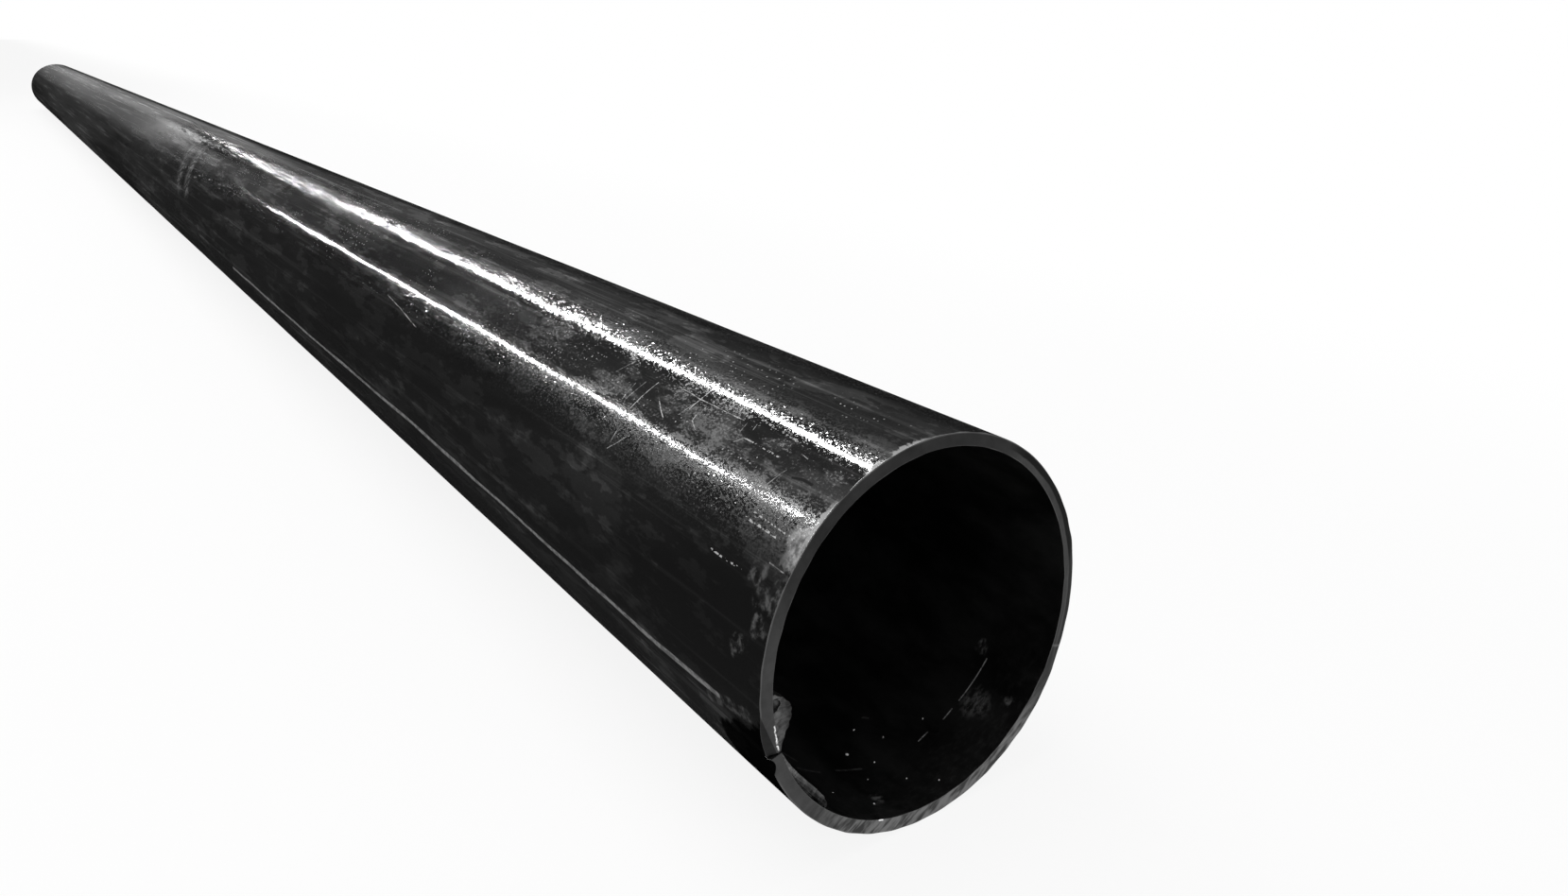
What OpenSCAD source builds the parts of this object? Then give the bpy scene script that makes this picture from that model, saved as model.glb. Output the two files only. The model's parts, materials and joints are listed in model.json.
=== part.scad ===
// A welded steel pipe, lying as it comes to rest: a plate rolled round, butted and welded along one line.
// Millimetres. X runs along the pipe, Z = 0 is the ground it lies on, and the origin is under its middle.
// The cut end at +X is the rough one, where the flash of the weld inside stands up in two torn lips.
// Angles round the pipe are seen from in front of the rough end: 0 is +Y, 90 is straight up.

/* [Tube] */
// Outside diameter
outside_d = 219.1; // [114.3:0.1:508]
// Thickness of the rolled plate
wall = 7.92; // [6:0.01:14]
// Length from cut end to cut end
pipe_len = 6400; // [3000:10:12000]

/* [Mouths] */
// Length over which the bore is eased open at each cut end
mouth_len = 24; // [20:1:60]
// How much the bore's radius grows over that length
mouth_rise = 0.2; // [0.1:0.05:0.5]

/* [Weld seam] */
// Angle of the weld line round the pipe
seam_angle = 198; // [0:1:359]
// Width of the flat track left outside where the flash was planed off
track_w = 16; // [8:1:24]
// Width of the trimmed bead inside
bead_w = 9; // [5:0.5:16]
// Height of the trimmed bead inside
bead_h = 0.4; // [0.2:0.05:0.45]

/* [Torn lips of the inside flash] */
// How far the lips reach back into the bore from the rough end
lip_len = 18; // [10:1:20]
// How far the front of the lips stays behind the cut face
lip_setback = 0.5; // [0.3:0.1:3]
// Angle that the upper lip spans, up from the weld line
upper_span = 18; // [12:0.5:26]
// Height of the upper lip's crest above the bore wall
upper_h = 10.3; // [6:0.1:14]
// Angle that the lower lip spans, down from the weld line
lower_span = 29; // [18:0.5:36]
// Height of the lower lip's crest above the bore wall
lower_h = 4.8; // [3:0.1:8]
// Height of the hollow that the upper lip curls over
upper_hollow_h = 4.6; // [1:0.1:5]
// Height of the hollow under the lower lip
lower_hollow_h = 1.3; // [0.4:0.1:2]

/* [Knocked edge] */
// Angle round the pipe, up from the weld line, over which the cut edge is knocked back
knock_span = 14.4; // [8:0.2:20]
// Thickness of wall left sound at the weld line
knock_sound = 2; // [1:0.1:4]
// Slope of the knocked face, away from the cut face
knock_slope = 28; // [15:1:50]
// Width of the open split at the weld line
split_w = 1.2; // [0.8:0.1:3]
// Depth of the open split into the end of the pipe
split_depth = 6; // [3:0.5:10]
// Depth of the bite out of the outer edge, beside the split
bite_depth = 2.3; // [1:0.1:3]
// Length of the bite round the edge
bite_w = 9.6; // [7:0.1:14]
// How far the bite runs back along the pipe
bite_len = 11; // [6:0.5:20]

/* [Hidden] */
$fn = 180;
outside_r = outside_d / 2;
bore_r = outside_r - wall;
mouth_r = bore_r + mouth_rise;
near_x = pipe_len / 2;
track_depth = outside_r - sqrt(pow(outside_r, 2) - pow(track_w / 2, 2));
// How deep the bead and the lips root in the wall, and how far each cutter runs past what it cuts
root = wall / 4;
past = wall;
// Share of its span at which each lip is highest, and how full its rise is
upper_crest = 0.62;
upper_fullness = 1.5;
lower_crest = 0.74;
lower_fullness = 1.3;
// Where each hollow starts and ends, as shares of its lip's span, and where between them it is highest
upper_hollow = [0.68, 0.93];
lower_hollow = [0.36, 0.97];
upper_hollow_crest = 0.55;
lower_hollow_crest = 0.75;
hollow_fullness = 1;
// Share of the lips' length over which they slope up from the wall to their crests
lip_runout = 0.6;
// Points along the free edge of a lip
lip_steps = 20;

// Rise of a lip or hollow at share u of its span: nothing at both ends, and 1 at its crest.
function rise(u, crest, fullness) =
    pow(u / crest, fullness) * pow((1 - u) / (1 - crest), fullness * (1 - crest) / crest);

// The point at radius r and angle a, in the plane across the pipe.
function at(r, a) = [r * cos(a), r * sin(a)];

// A patch over angles from and to, rooted in the wall, whose inner edge rises by height above the bore.
module raised_patch(from, to, height, crest, fullness) {
    shares = [for (i = [0:lip_steps]) i / lip_steps];
    full_h = height + mouth_rise;
    inner = [for (u = shares) at(mouth_r - full_h * rise(u, crest, fullness), from + u * (to - from))];
    outer = [for (u = shares) at(bore_r + root, to + u * (from - to))];
    polygon(concat(inner, outer));
}

// Turns a shape drawn across the pipe, with its length along z, into place on the ground.
module laid_down() translate([0, 0, outside_r]) rotate([90, 0, 90]) children();

// Turns a shape drawn at angle 0 to the weld line.
module at_seam() rotate([0, 0, seam_angle]) children();

// The rolled plate, with its bore eased open at both mouths.
module tube() difference() {
    cylinder(r = outside_r, h = pipe_len, center = true);
    cylinder(r = bore_r, h = pipe_len + 2 * past, center = true);
    for (end = [0, 1]) mirror([0, 0, end])
        translate([0, 0, near_x - mouth_len]) cylinder(r1 = bore_r, r2 = bore_r + mouth_rise, h = mouth_len);
}

// The trimmed bead inside, ground away in both mouths.
module bead() at_seam()
    translate([bore_r - bead_h, -bead_w / 2, mouth_len - near_x])
        cube([bead_h + root, bead_w, pipe_len - 2 * mouth_len]);

// One torn lip behind the cut face, from the weld line round to its free end, where it curls back to the
// wall over a hollow. At its back it slopes down into the wall.
module lip(span, height, crest, fullness, hollow, hollow_h, hollow_crest)
    translate([0, 0, near_x - lip_len]) difference() {
        body_len = lip_len - lip_setback;
        slope_len = lip_runout * body_len;
        linear_extrude(body_len) difference() {
            raised_patch(0, span, height, crest, fullness);
            raised_patch(hollow[0] * span, hollow[1] * span, hollow_h, hollow_crest, hollow_fullness);
        }
        translate([0, 0, -slope_len / 2])
            cylinder(r1 = bore_r + height / 2, r2 = bore_r - 3 * height / 2, h = 2 * slope_len);
    }

// Both lips: the upper one is turned up from the weld line, and the lower one down.
module torn_lips() at_seam() {
    mirror([0, 1, 0]) lip(upper_span, upper_h, upper_crest, upper_fullness,
        upper_hollow, upper_hollow_h, upper_hollow_crest);
    lip(lower_span, lower_h, lower_crest, lower_fullness,
        lower_hollow, lower_hollow_h, lower_hollow_crest);
}

// Cuts the flat track along the outside of the weld.
module track_cut() at_seam()
    translate([outside_r - track_depth, -outside_r / 2, -near_x - past])
        cube([track_depth + past, outside_r, pipe_len + 2 * past]);

// Cuts the part of the end face, above the weld line, that is knocked back towards the outside.
module knocked_cut() at_seam() {
    low = [bore_r + knock_sound, 0];
    high = at(outside_r, -knock_span);
    turn = atan2(low[0] - high[0], low[1] - high[1]);
    intersection() {
        translate([low[0], low[1], near_x]) rotate([0, 0, -turn]) rotate([0, knock_slope, 0])
            translate([0, -outside_r, 0]) cube([2 * outside_r, 2 * outside_r, outside_r]);
        translate([0, -outside_r, near_x - outside_r]) cube([2 * outside_r, outside_r, 2 * outside_r]);
    }
}

// Cuts the split at the weld line, a V that closes inward along the pipe.
module split_cut() at_seam() translate([bore_r - past, 0, near_x]) rotate([90, 0, 90])
    linear_extrude(wall + 2 * past) {
        polygon([[0, -split_depth], [split_w / 2, 0], [-split_w / 2, 0]]);
        translate([-split_w / 2, 0]) square([split_w, past]);
    }

// Cuts the bite out of the outer edge, running out along the pipe.
module bite_cut() {
    bite_r = (pow(bite_w / 2, 2) + pow(bite_depth, 2)) / (2 * bite_depth);
    bite_angle = asin(bite_w / 2 / outside_r);
    at_seam() rotate([0, 0, bite_angle]) translate([outside_r - bite_depth + bite_r, 0, near_x])
        rotate([0, atan(bite_depth / bite_len), 0]) cylinder(r = bite_r, h = 4 * bite_len, center = true);
}

module pipe() color([0.17, 0.17, 0.175]) laid_down() difference() {
    union() {
        tube();
        bead();
        torn_lips();
    }
    track_cut();
    knocked_cut();
    split_cut();
    bite_cut();
}

pipe();
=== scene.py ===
"""The looks of a welded steel pipe: black mill scale outside, a sawn face at each end and a dark bore.

The pipe lies along X, on Z = 0. Its rough end is at +X, where the flash of the weld inside stands up in
two torn lips. Angles round the pipe are seen from in front of that end. In the frame, 0 is +Y and 90 is
straight up. On the pipe they count from the weld line, and they are positive towards the ground.
Lengths are millimetres until a mesh is made, and metres from there on.
"""

import json
import logging
import math
from collections.abc import Sequence
from dataclasses import dataclass, replace
from enum import IntEnum
from functools import partial, reduce
from itertools import pairwise
from typing import NamedTuple

import bpy
import numpy as np
from mathutils import Matrix, Vector

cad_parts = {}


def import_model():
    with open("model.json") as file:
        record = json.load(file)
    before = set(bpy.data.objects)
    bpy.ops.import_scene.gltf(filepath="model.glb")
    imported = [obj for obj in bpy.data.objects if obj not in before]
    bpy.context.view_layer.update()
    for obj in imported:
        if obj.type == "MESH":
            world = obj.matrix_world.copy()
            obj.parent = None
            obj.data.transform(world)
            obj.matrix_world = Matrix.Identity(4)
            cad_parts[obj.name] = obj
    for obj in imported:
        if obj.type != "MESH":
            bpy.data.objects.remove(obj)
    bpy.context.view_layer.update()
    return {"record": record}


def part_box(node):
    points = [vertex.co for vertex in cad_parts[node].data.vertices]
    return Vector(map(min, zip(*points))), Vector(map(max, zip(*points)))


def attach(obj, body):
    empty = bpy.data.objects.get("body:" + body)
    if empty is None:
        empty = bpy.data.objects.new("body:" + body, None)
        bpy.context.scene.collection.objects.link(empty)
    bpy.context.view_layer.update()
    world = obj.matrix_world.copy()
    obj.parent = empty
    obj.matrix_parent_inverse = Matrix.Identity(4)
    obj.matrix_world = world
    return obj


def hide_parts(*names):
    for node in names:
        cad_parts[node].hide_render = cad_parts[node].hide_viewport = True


MM = 0.001
PHOTO_WIDTH, PHOTO_HEIGHT = 1659, 948
BODY = "root"
NODE = "pipe"

log = logging.getLogger("pipe")

Socket = bpy.types.NodeSocket
Value = float | tuple[float, ...] | Socket
# What goes into a node's inputs, and what comes out of a node
Sockets = dict[str | int, Value]
Outputs = bpy.types.bpy_prop_collection
Pair = tuple[float, float]
Triple = tuple[float, float, float]
# A place on the skin: its distance behind the rough end, and its angle from the weld line
Spot = tuple[float, float]
# The spots that a mark runs through
Run = tuple[Spot, ...]
# The numbers of a face's vertices, in order
Face = tuple[int, ...]
# A ring of points round the pipe: where each lies along it, and how far from the axis
Ring = tuple[np.ndarray, np.ndarray]


class Zone(IntEnum):
    """The finishes on the pipe, in the order of its material slots."""

    OUTSIDE = 0
    CUT = 1
    BORE = 2
    FLASH = 3


class End(IntEnum):
    """The cut ends, by the side of the middle on which each lies."""

    FAR = -1
    ROUGH = 1


class Turn(IntEnum):
    """Which way a lip of the flash is turned from the weld line."""

    UP = -1
    DOWN = 1


class Fade(NamedTuple):
    """A smooth change from start to end, while a value goes from low to high."""

    low: float
    high: float
    start: float = 0.0
    end: float = 1.0

    def moved(self, by: float) -> "Fade":
        """The same change, over values that lie further on."""
        return self._replace(low=self.low + by, high=self.high + by)


class Arc(NamedTuple):
    """A stretch of values from low to high. Each end is spread over the soft reach to both its sides."""

    low: float
    high: float
    soft: float


class Scratches(NamedTuple):
    """Loose scratches, at most one to a cell of the skin.

    Attributes:
        cell: The size of a cell in millimetres.
        length: Half the length of the longest scratch.
        width: Half the width of a scratch.
        lean: How far, in degrees, a scratch may lean from straight across the pipe.
        kept: The share of cells that hold a scratch.
    """

    cell: float
    length: float
    width: float
    lean: float
    kept: float


class Dots(NamedTuple):
    """Loose dots, at most one to a cell of the skin.

    Attributes:
        cell: The size of a cell in millimetres.
        radius: The radius of the largest dot.
        kept: The share of cells that hold a dot.
    """

    cell: float
    radius: float
    kept: float


@dataclass(frozen=True)
class Cloud:
    """Cloudy noise on the pipe, mostly 0.25 to 0.75.

    Attributes:
        size: The size of a cloud in millimetres.
        detail: How many finer layers there are.
        rough: How strong each finer layer is.
        stretch: How many times a cloud is as long as it is wide, or 0 where it isn't drawn out.
        twist: How far the clouds are stirred.
        fade: What the noise is turned into, where that isn't the noise itself.
    """

    size: float
    detail: float = 3.0
    rough: float = 0.55
    stretch: float = 0.0
    twist: float = 0.0
    fade: Fade | None = None


def grey(level: float) -> tuple[float, ...]:
    """An opaque grey colour."""
    return (level,) * 3 + (1.0,)


def smooth_step(low: float, high: float, value: np.ndarray) -> np.ndarray:
    """Rises smoothly from 0 at low to 1 at high."""
    share = np.clip((value - low) / (high - low), 0.0, 1.0)
    return share * share * (3.0 - 2.0 * share)


class Ripple:
    """Smooth unevenness over the angle round the pipe and the place along it, the same on each run."""

    def __init__(self, seed: int, lobes: int, per_turn: tuple[int, int], lengths: Pair) -> None:
        """Picks the waves that add up to the unevenness.

        Args:
            seed: Starts the random draws.
            lobes: How many waves are added.
            per_turn: Fewest and most waves in one turn round the pipe.
            lengths: Shortest and longest wave along the pipe, in millimetres.
        """
        draw = np.random.default_rng(seed)
        self.turns = draw.integers(per_turn[0], per_turn[1] + 1, lobes) * draw.choice([-1, 1], lobes)
        self.pace = 2 * math.pi / np.exp(draw.uniform(*np.log(lengths), lobes))
        self.phase = draw.uniform(0, 2 * math.pi, lobes)
        self.scale = math.sqrt(2.0 / lobes)

    def at(self, angle: np.ndarray, along: np.ndarray) -> np.ndarray:
        """Gives the unevenness, mostly between -1 and 1.

        Args:
            angle: Angles round the pipe in degrees.
            along: Places along the pipe in millimetres.

        Returns:
            One value for each angle and place.
        """
        turn = np.radians(angle)
        total = np.zeros(np.broadcast(angle, along).shape)
        for turns, pace, phase in zip(self.turns, self.pace, self.phase, strict=True):
            total = total + np.sin(turns * turn + pace * along + phase)
        return total * self.scale


@dataclass(frozen=True)
class PipeSizes:
    """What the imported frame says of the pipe, and what the source fixes, in millimetres and degrees."""

    near_x: float
    axis_z: float
    outside_r: float
    bore_r: float
    mouth_rise: float = 0.2
    mouth_len: float = 24.0
    seam_angle: float = 198.0
    saw_back: float = 0.3

    @classmethod
    def from_frame(cls, record: dict) -> "PipeSizes":
        """Reads the sizes from the node's box and the mounts.

        Args:
            record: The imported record.

        Returns:
            The sizes, with the largest outside radius that stays in the node's box.
        """
        low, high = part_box(NODE)
        bore = next(mount for mount in record["mounts"] if mount["name"] == "bore")
        axis_z = bore["pos_m"][2] / MM
        reach = min(-low.y / MM, high.y / MM, high.z / MM - axis_z, axis_z - low.z / MM)
        return cls(near_x=high.x / MM, axis_z=axis_z, outside_r=reach, bore_r=bore["dims"]["r_mm"])

    @property
    def mouth_r(self) -> float:
        """Radius of the bore at the cut faces."""
        return self.bore_r + self.mouth_rise

    @property
    def per_degree(self) -> float:
        """Length of one degree round the outside."""
        return math.radians(1.0) * self.outside_r

    def placed(self, along: np.ndarray, radius: np.ndarray, angle: np.ndarray) -> np.ndarray:
        """Turns places along, out from and round the axis into points of the frame.

        Args:
            along: Place along X in millimetres.
            radius: Distance from the axis in millimetres.
            angle: Angle from the weld line in degrees.

        Returns:
            Points in metres, one to a row.
        """
        turn = np.radians(angle + self.seam_angle)
        height = self.axis_z + radius * np.sin(turn)
        return np.stack(np.broadcast_arrays(along, radius * np.cos(turn), height), -1) * MM


def mesh_object(
    name: str, points: np.ndarray, faces: list[Face], zones: list[int], finishes: list[bpy.types.Material]
) -> bpy.types.Object:
    """Makes a mesh object at the origin.

    Args:
        name: The object's name.
        points: Its vertices in metres.
        faces: The vertices of each face, in order.
        zones: The zone of each face.
        finishes: The material of each zone.

    Returns:
        The object, linked to the scene.
    """
    mesh = bpy.data.meshes.new(name)
    mesh.from_pydata(points.tolist(), [], faces)
    for finish in finishes:
        mesh.materials.append(finish)
    mesh.polygons.foreach_set("material_index", zones)
    made = bpy.data.objects.new(name, mesh)
    bpy.context.scene.collection.objects.link(made)
    return made


def quads(index: np.ndarray) -> list[Face]:
    """The four-sided faces of a grid of vertices, given by their numbers."""
    corners = (index[:-1, :-1], index[1:, :-1], index[1:, 1:], index[:-1, 1:])
    return np.stack(corners, -1).reshape(-1, 4).tolist()


def graded(first: float, growth: float, longest: float, total: float) -> np.ndarray:
    """Places whose steps grow from the first one up to a longest one.

    Args:
        first: The first step.
        growth: Each step as a multiple of the one before.
        longest: No step is longer.
        total: The last place.

    Returns:
        Places from 0 to total.
    """
    places, step = [0.0], first
    while places[-1] + step < total - step / 2:
        places.append(places[-1] + step)
        step = min(step * growth, longest)
    return np.array([*places, total])


@dataclass(frozen=True)
class WeldTrack:
    """The flat track outside, where the flash was planed off, and the trimmed bead inside."""

    track_w: float = 16.0
    bead_w: float = 9.0
    bead_h: float = 0.4
    bead_edge: Pair = (-1.0, 0.5)
    least_cosine: float = 0.5

    def outside(self, radius: float, angle: np.ndarray) -> np.ndarray:
        """The radius of the outside at each angle from the weld line."""
        flat = math.sqrt(radius**2 - (self.track_w / 2) ** 2)
        chord = flat / np.maximum(np.cos(np.radians(angle)), self.least_cosine)
        return np.minimum(radius, chord)

    def bead(self, radius: float, angle: np.ndarray) -> np.ndarray:
        """How far the bead stands up from the bore at each angle from the weld line."""
        offset = np.abs(np.radians(angle)) * radius
        full, none = (self.bead_w / 2 + edge for edge in self.bead_edge)
        return self.bead_h * (1 - smooth_step(full, none, offset))


@dataclass(frozen=True)
class RoughEnd:
    """What knocks and the torn weld left of the cut face at +X."""

    knock_span: float = 14.4
    knock_sound: float = 2.0
    knock_slope: float = 28.0
    knock_side: Pair = (-60.0, 0.0)
    split_w: float = 1.2
    split_depth: float = 6.0
    bite_depth: float = 2.3
    bite_w: float = 9.6
    bite_len: float = 11.0
    bevel_middle: float = 152.0
    bevel_span: float = 26.0
    bevel_full: float = 0.45
    bevel_w: float = 5.4
    bevel_least: float = 0.05
    bevel_depth: float = 0.9
    burr_h: float = 0.3
    burr_w: float = 0.45
    burr_r: Pair = (102.4, 103.2)
    burr_start: float = -9.0
    burr_run: float = 8.2
    burr_ends: tuple[Pair, Pair] = ((-9.5, -8.0), (-0.9, -0.4))
    burr_jag: Pair = (0.55, 0.45)
    burr_beat: Triple = (4.1, 9.7, 1.3)

    @property
    def burr_slope(self) -> float:
        """How fast the burr climbs from the bore, in millimetres a degree."""
        return (self.burr_r[1] - self.burr_r[0]) / self.burr_run

    def hinge_distance(self, sizes: PipeSizes, radius: np.ndarray, angle: np.ndarray) -> np.ndarray:
        """How far a point of the face lies outside the line on which the edge was knocked back.

        Args:
            sizes: The pipe's sizes.
            radius: Distance from the axis.
            angle: Angle from the weld line.

        Returns:
            Distances in millimetres, negative on the sound side.
        """
        low = np.array([sizes.bore_r + self.knock_sound, 0.0])
        turn = math.radians(-self.knock_span)
        high = sizes.outside_r * np.array([math.cos(turn), math.sin(turn)])
        run = (high - low) / np.linalg.norm(high - low)
        across = radius * np.cos(np.radians(angle)) - low[0]
        down = radius * np.sin(np.radians(angle)) - low[1]
        return down * run[0] - across * run[1]

    def set_back(self, sizes: PipeSizes, radius: np.ndarray, angle: np.ndarray) -> np.ndarray:
        """How far the face lies behind the plane of the end.

        Args:
            sizes: The pipe's sizes.
            radius: Distance from the axis.
            angle: Angle from the weld line.

        Returns:
            Depths in millimetres.
        """
        outside = self.hinge_distance(sizes, radius, angle)
        above = (angle > self.knock_side[0]) & (angle < self.knock_side[1])
        knocked = np.where(above, np.maximum(outside, 0.0) * math.tan(math.radians(self.knock_slope)), 0.0)
        offset = np.abs(np.radians(angle)) * radius
        split = self.split_depth * np.maximum(0.0, 1 - offset / (self.split_w / 2))
        burr = np.where(above, self.burr(radius, angle), 0.0)
        return sizes.saw_back + np.maximum(knocked, split) - burr

    def burr(self, radius: np.ndarray, angle: np.ndarray) -> np.ndarray:
        """The jagged ridge along the inner edge, above the weld line."""
        slow, fast, shift = self.burr_beat
        jag = self.burr_jag[0] + self.burr_jag[1] * np.sin(angle * slow) * np.sin(angle * fast + shift)
        start, end = self.burr_ends
        reach = smooth_step(*start, angle) * (1 - smooth_step(*end, angle))
        middle = self.burr_r[0] + self.burr_slope * (angle - self.burr_start)
        return self.burr_h * jag * reach * np.exp(-(((radius - middle) / self.burr_w) ** 2))

    def bite(self, sizes: PipeSizes, angle: np.ndarray, back: np.ndarray) -> np.ndarray:
        """How deep the bite beside the split goes into the outside.

        Args:
            sizes: The pipe's sizes.
            angle: Angle from the weld line.
            back: Distance behind the cut face.

        Returns:
            Depths in millimetres.
        """
        radius = ((self.bite_w / 2) ** 2 + self.bite_depth**2) / (2 * self.bite_depth)
        middle = math.degrees(math.asin(self.bite_w / 2 / sizes.outside_r))
        offset = np.radians(angle - middle) * sizes.outside_r
        rise = radius - np.sqrt(np.maximum(radius**2 - offset**2, 0.0))
        depth = self.bite_depth * (1 - back / self.bite_len) - rise
        return np.where(np.abs(offset) < radius, np.maximum(depth, 0.0), 0.0)

    def bevel(self, angle: np.ndarray, inward: np.ndarray) -> np.ndarray:
        """How far the rolled-over part of the outer edge falls back, at a distance inward from it."""
        off = np.abs((angle - self.bevel_middle + 180) % 360 - 180)
        share = 1 - smooth_step(self.bevel_span * self.bevel_full, self.bevel_span, off)
        width = np.maximum(self.bevel_w * share, self.bevel_least)
        return self.bevel_depth * share * np.maximum(0.0, 1 - inward / width)


@dataclass
class PipeWall:
    """The rolled plate: one closed grid of columns round the pipe and rings along its section."""

    sizes: PipeSizes
    finishes: list[bpy.types.Material]
    track: WeldTrack = WeldTrack()
    rough: RoughEnd = RoughEnd()
    column_step: float = 1.35
    weld_step: float = 0.55
    split_step: float = 0.1
    weld_zone: Pair = (-20.0, 30.0)
    split_zone: Pair = (-1.2, 1.2)
    face_rings: int = 16
    edge_shares: Triple = (0.012, 0.03, 0.055)
    face_margin: float = 0.09
    far_shares: tuple[float, ...] = (0.97, 0.93, 0.5, 0.07, 0.03)
    outside_steps: tuple[Pair, Pair] = ((0.45, 1.07), (0.8, 1.5))
    outside_longest: float = 72.0
    bore_steps: tuple[Pair, Pair] = ((0.6, 1.25), (1.5, 1.7))
    bore_longest: float = 160.0
    fall_off: float = 26.0
    edge_r: float = 0.4
    edge_wear: float = 0.45
    edge_seeds: tuple[int, int] = (41, 42)
    sink: float = 0.12
    wave_h: float = 0.045
    short_wave_h: float = 0.065
    bore_wave_h: float = 0.03
    bead_runout: float = 6.0
    saw_wave_h: float = 0.05
    saw_stretch: float = 9.0
    long_waves: Ripple = Ripple(seed=11, lobes=26, per_turn=(2, 9), lengths=(170.0, 900.0))
    short_waves: Ripple = Ripple(seed=12, lobes=24, per_turn=(6, 13), lengths=(180.0, 700.0))
    bore_waves: Ripple = Ripple(seed=21, lobes=20, per_turn=(2, 12), lengths=(150.0, 800.0))
    near_saw: Ripple = Ripple(seed=31, lobes=12, per_turn=(1, 9), lengths=(500.0, 900.0))
    far_saw: Ripple = Ripple(seed=32, lobes=12, per_turn=(1, 9), lengths=(500.0, 900.0))

    def columns(self) -> np.ndarray:
        """The angle of each column from the weld line, closest together at the split."""
        stretches = [
            (-180.0, self.weld_zone[0], self.column_step),
            (self.weld_zone[0], self.split_zone[0], self.weld_step),
            (self.split_zone[0], self.split_zone[1], self.split_step),
            (self.split_zone[1], self.weld_zone[1], self.weld_step),
            (self.weld_zone[1], 180.0, self.column_step),
        ]
        parts = [np.linspace(a, b, round((b - a) / step), endpoint=False) for a, b, step in stretches]
        return np.concatenate(parts)

    def build(self) -> bpy.types.Object:
        """Makes the wall's mesh.

        Returns:
            The closed wall, in its place.
        """
        angle = self.columns()
        outside, bore = self.outside_rings(angle), self.bore_rings(angle)
        near, far = self.near_face(angle), self.far_face(angle)
        rings = outside + near + bore + far
        bands = [Zone.OUTSIDE] * (len(outside) - 1) + [Zone.CUT] * (len(near) + 1)
        bands += [Zone.BORE] * (len(bore) - 1) + [Zone.CUT] * (len(far) + 1)
        points = np.concatenate([self.sizes.placed(along, radius, angle) for along, radius in rings])
        index = np.arange(len(points)).reshape(len(rings), len(angle))
        closed = np.pad(index, ((0, 1), (0, 1)), "wrap")
        zones = np.repeat(bands, len(angle)).tolist()
        return mesh_object("pipe_wall", points, [face[::-1] for face in quads(closed)], zones, self.finishes)

    def outside_radius(self, angle: np.ndarray, along: np.ndarray) -> np.ndarray:
        """The outside's radius, a little uneven as rolled plate is."""
        base = self.track.outside(self.sizes.outside_r, angle) - self.sink
        waves, short = self.long_waves.at(angle, along), self.short_waves.at(angle, along)
        return base - self.wave_h * np.tanh(waves) - self.short_wave_h * np.tanh(short)

    def bore_radius(self, angle: np.ndarray, along: np.ndarray) -> np.ndarray:
        """The bore's radius, eased open at both mouths, with the trimmed bead between them."""
        inside = self.sizes.near_x - np.abs(along)
        eased = self.sizes.mouth_rise * (1 - np.clip(inside / self.sizes.mouth_len, 0, 1))
        bead_here = smooth_step(0.0, self.bead_runout, inside - self.sizes.mouth_len)
        bead = self.track.bead(self.sizes.bore_r, angle) * bead_here
        return self.sizes.bore_r + eased - bead + self.bore_wave_h * self.bore_waves.at(angle, along)

    def edge_rounding(self, angle: np.ndarray, inward: np.ndarray, seed: int) -> np.ndarray:
        """How far a worn edge of the cut face falls back at a distance from it."""
        waves = Ripple(seed, lobes=9, per_turn=(5, 47), lengths=(400.0, 900.0))
        radius = self.edge_r * (1 + self.edge_wear * waves.at(angle, np.zeros_like(angle)))
        short = radius - np.minimum(inward, radius)
        return radius - np.sqrt(np.maximum(radius**2 - short**2, 0.0))

    def face_back(self, angle: np.ndarray, radius: np.ndarray, end: End) -> np.ndarray:
        """How far a cut face lies behind its end, without its worn edges."""
        if end is End.FAR:
            return self.sizes.saw_back + self.saw_wave_h * self.far_saw.at(angle, radius * self.saw_stretch)
        sawn = self.saw_wave_h * self.near_saw.at(angle, radius * self.saw_stretch)
        return self.rough.set_back(self.sizes, radius, angle) + np.abs(sawn)

    def face_ring(self, angle: np.ndarray, share: float, end: End) -> Ring:
        """One ring of a cut face, with its worn edges.

        Args:
            angle: The angle of each point from the weld line.
            share: The share of the way from the outside to the bore.
            end: The end that the face closes.

        Returns:
            The ring.
        """
        brink = np.full_like(angle, end * self.sizes.near_x)
        outer, inner = self.outside_radius(angle, brink), self.bore_radius(angle, brink)
        if end is End.ROUGH:
            outer = outer - self.rough.bite(self.sizes, angle, np.zeros_like(angle))
        radius = outer + share * (inner - outer)
        back = self.face_back(angle, radius, end)
        for inward, seed in zip((outer - radius, radius - inner), self.edge_seeds, strict=True):
            back = back + self.edge_rounding(angle, inward, seed)
        if end is End.ROUGH:
            back = back + self.rough.bevel(angle, outer - radius)
        return end * (self.sizes.near_x - back), radius

    def near_face(self, angle: np.ndarray) -> list[Ring]:
        """The rings of the cut face at +X, closest together at its edges."""
        edge = np.array(self.edge_shares)
        middle = np.linspace(self.face_margin, 1 - self.face_margin, self.face_rings)
        shares = np.concatenate([edge, middle, 1 - edge[::-1]])
        return [self.face_ring(angle, share, End.ROUGH) for share in shares]

    def far_face(self, angle: np.ndarray) -> list[Ring]:
        """The rings of the cut face at -X."""
        return [self.face_ring(angle, share, End.FAR) for share in self.far_shares]

    def along(self, back: float, edge: np.ndarray, end: End) -> np.ndarray:
        """Where a ring lies along the pipe: close behind a cut face it follows that face's edge."""
        ease = max(0.0, 1 - back / self.fall_off)
        return end * (self.sizes.near_x - back) + (edge - end * self.sizes.near_x) * ease

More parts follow.
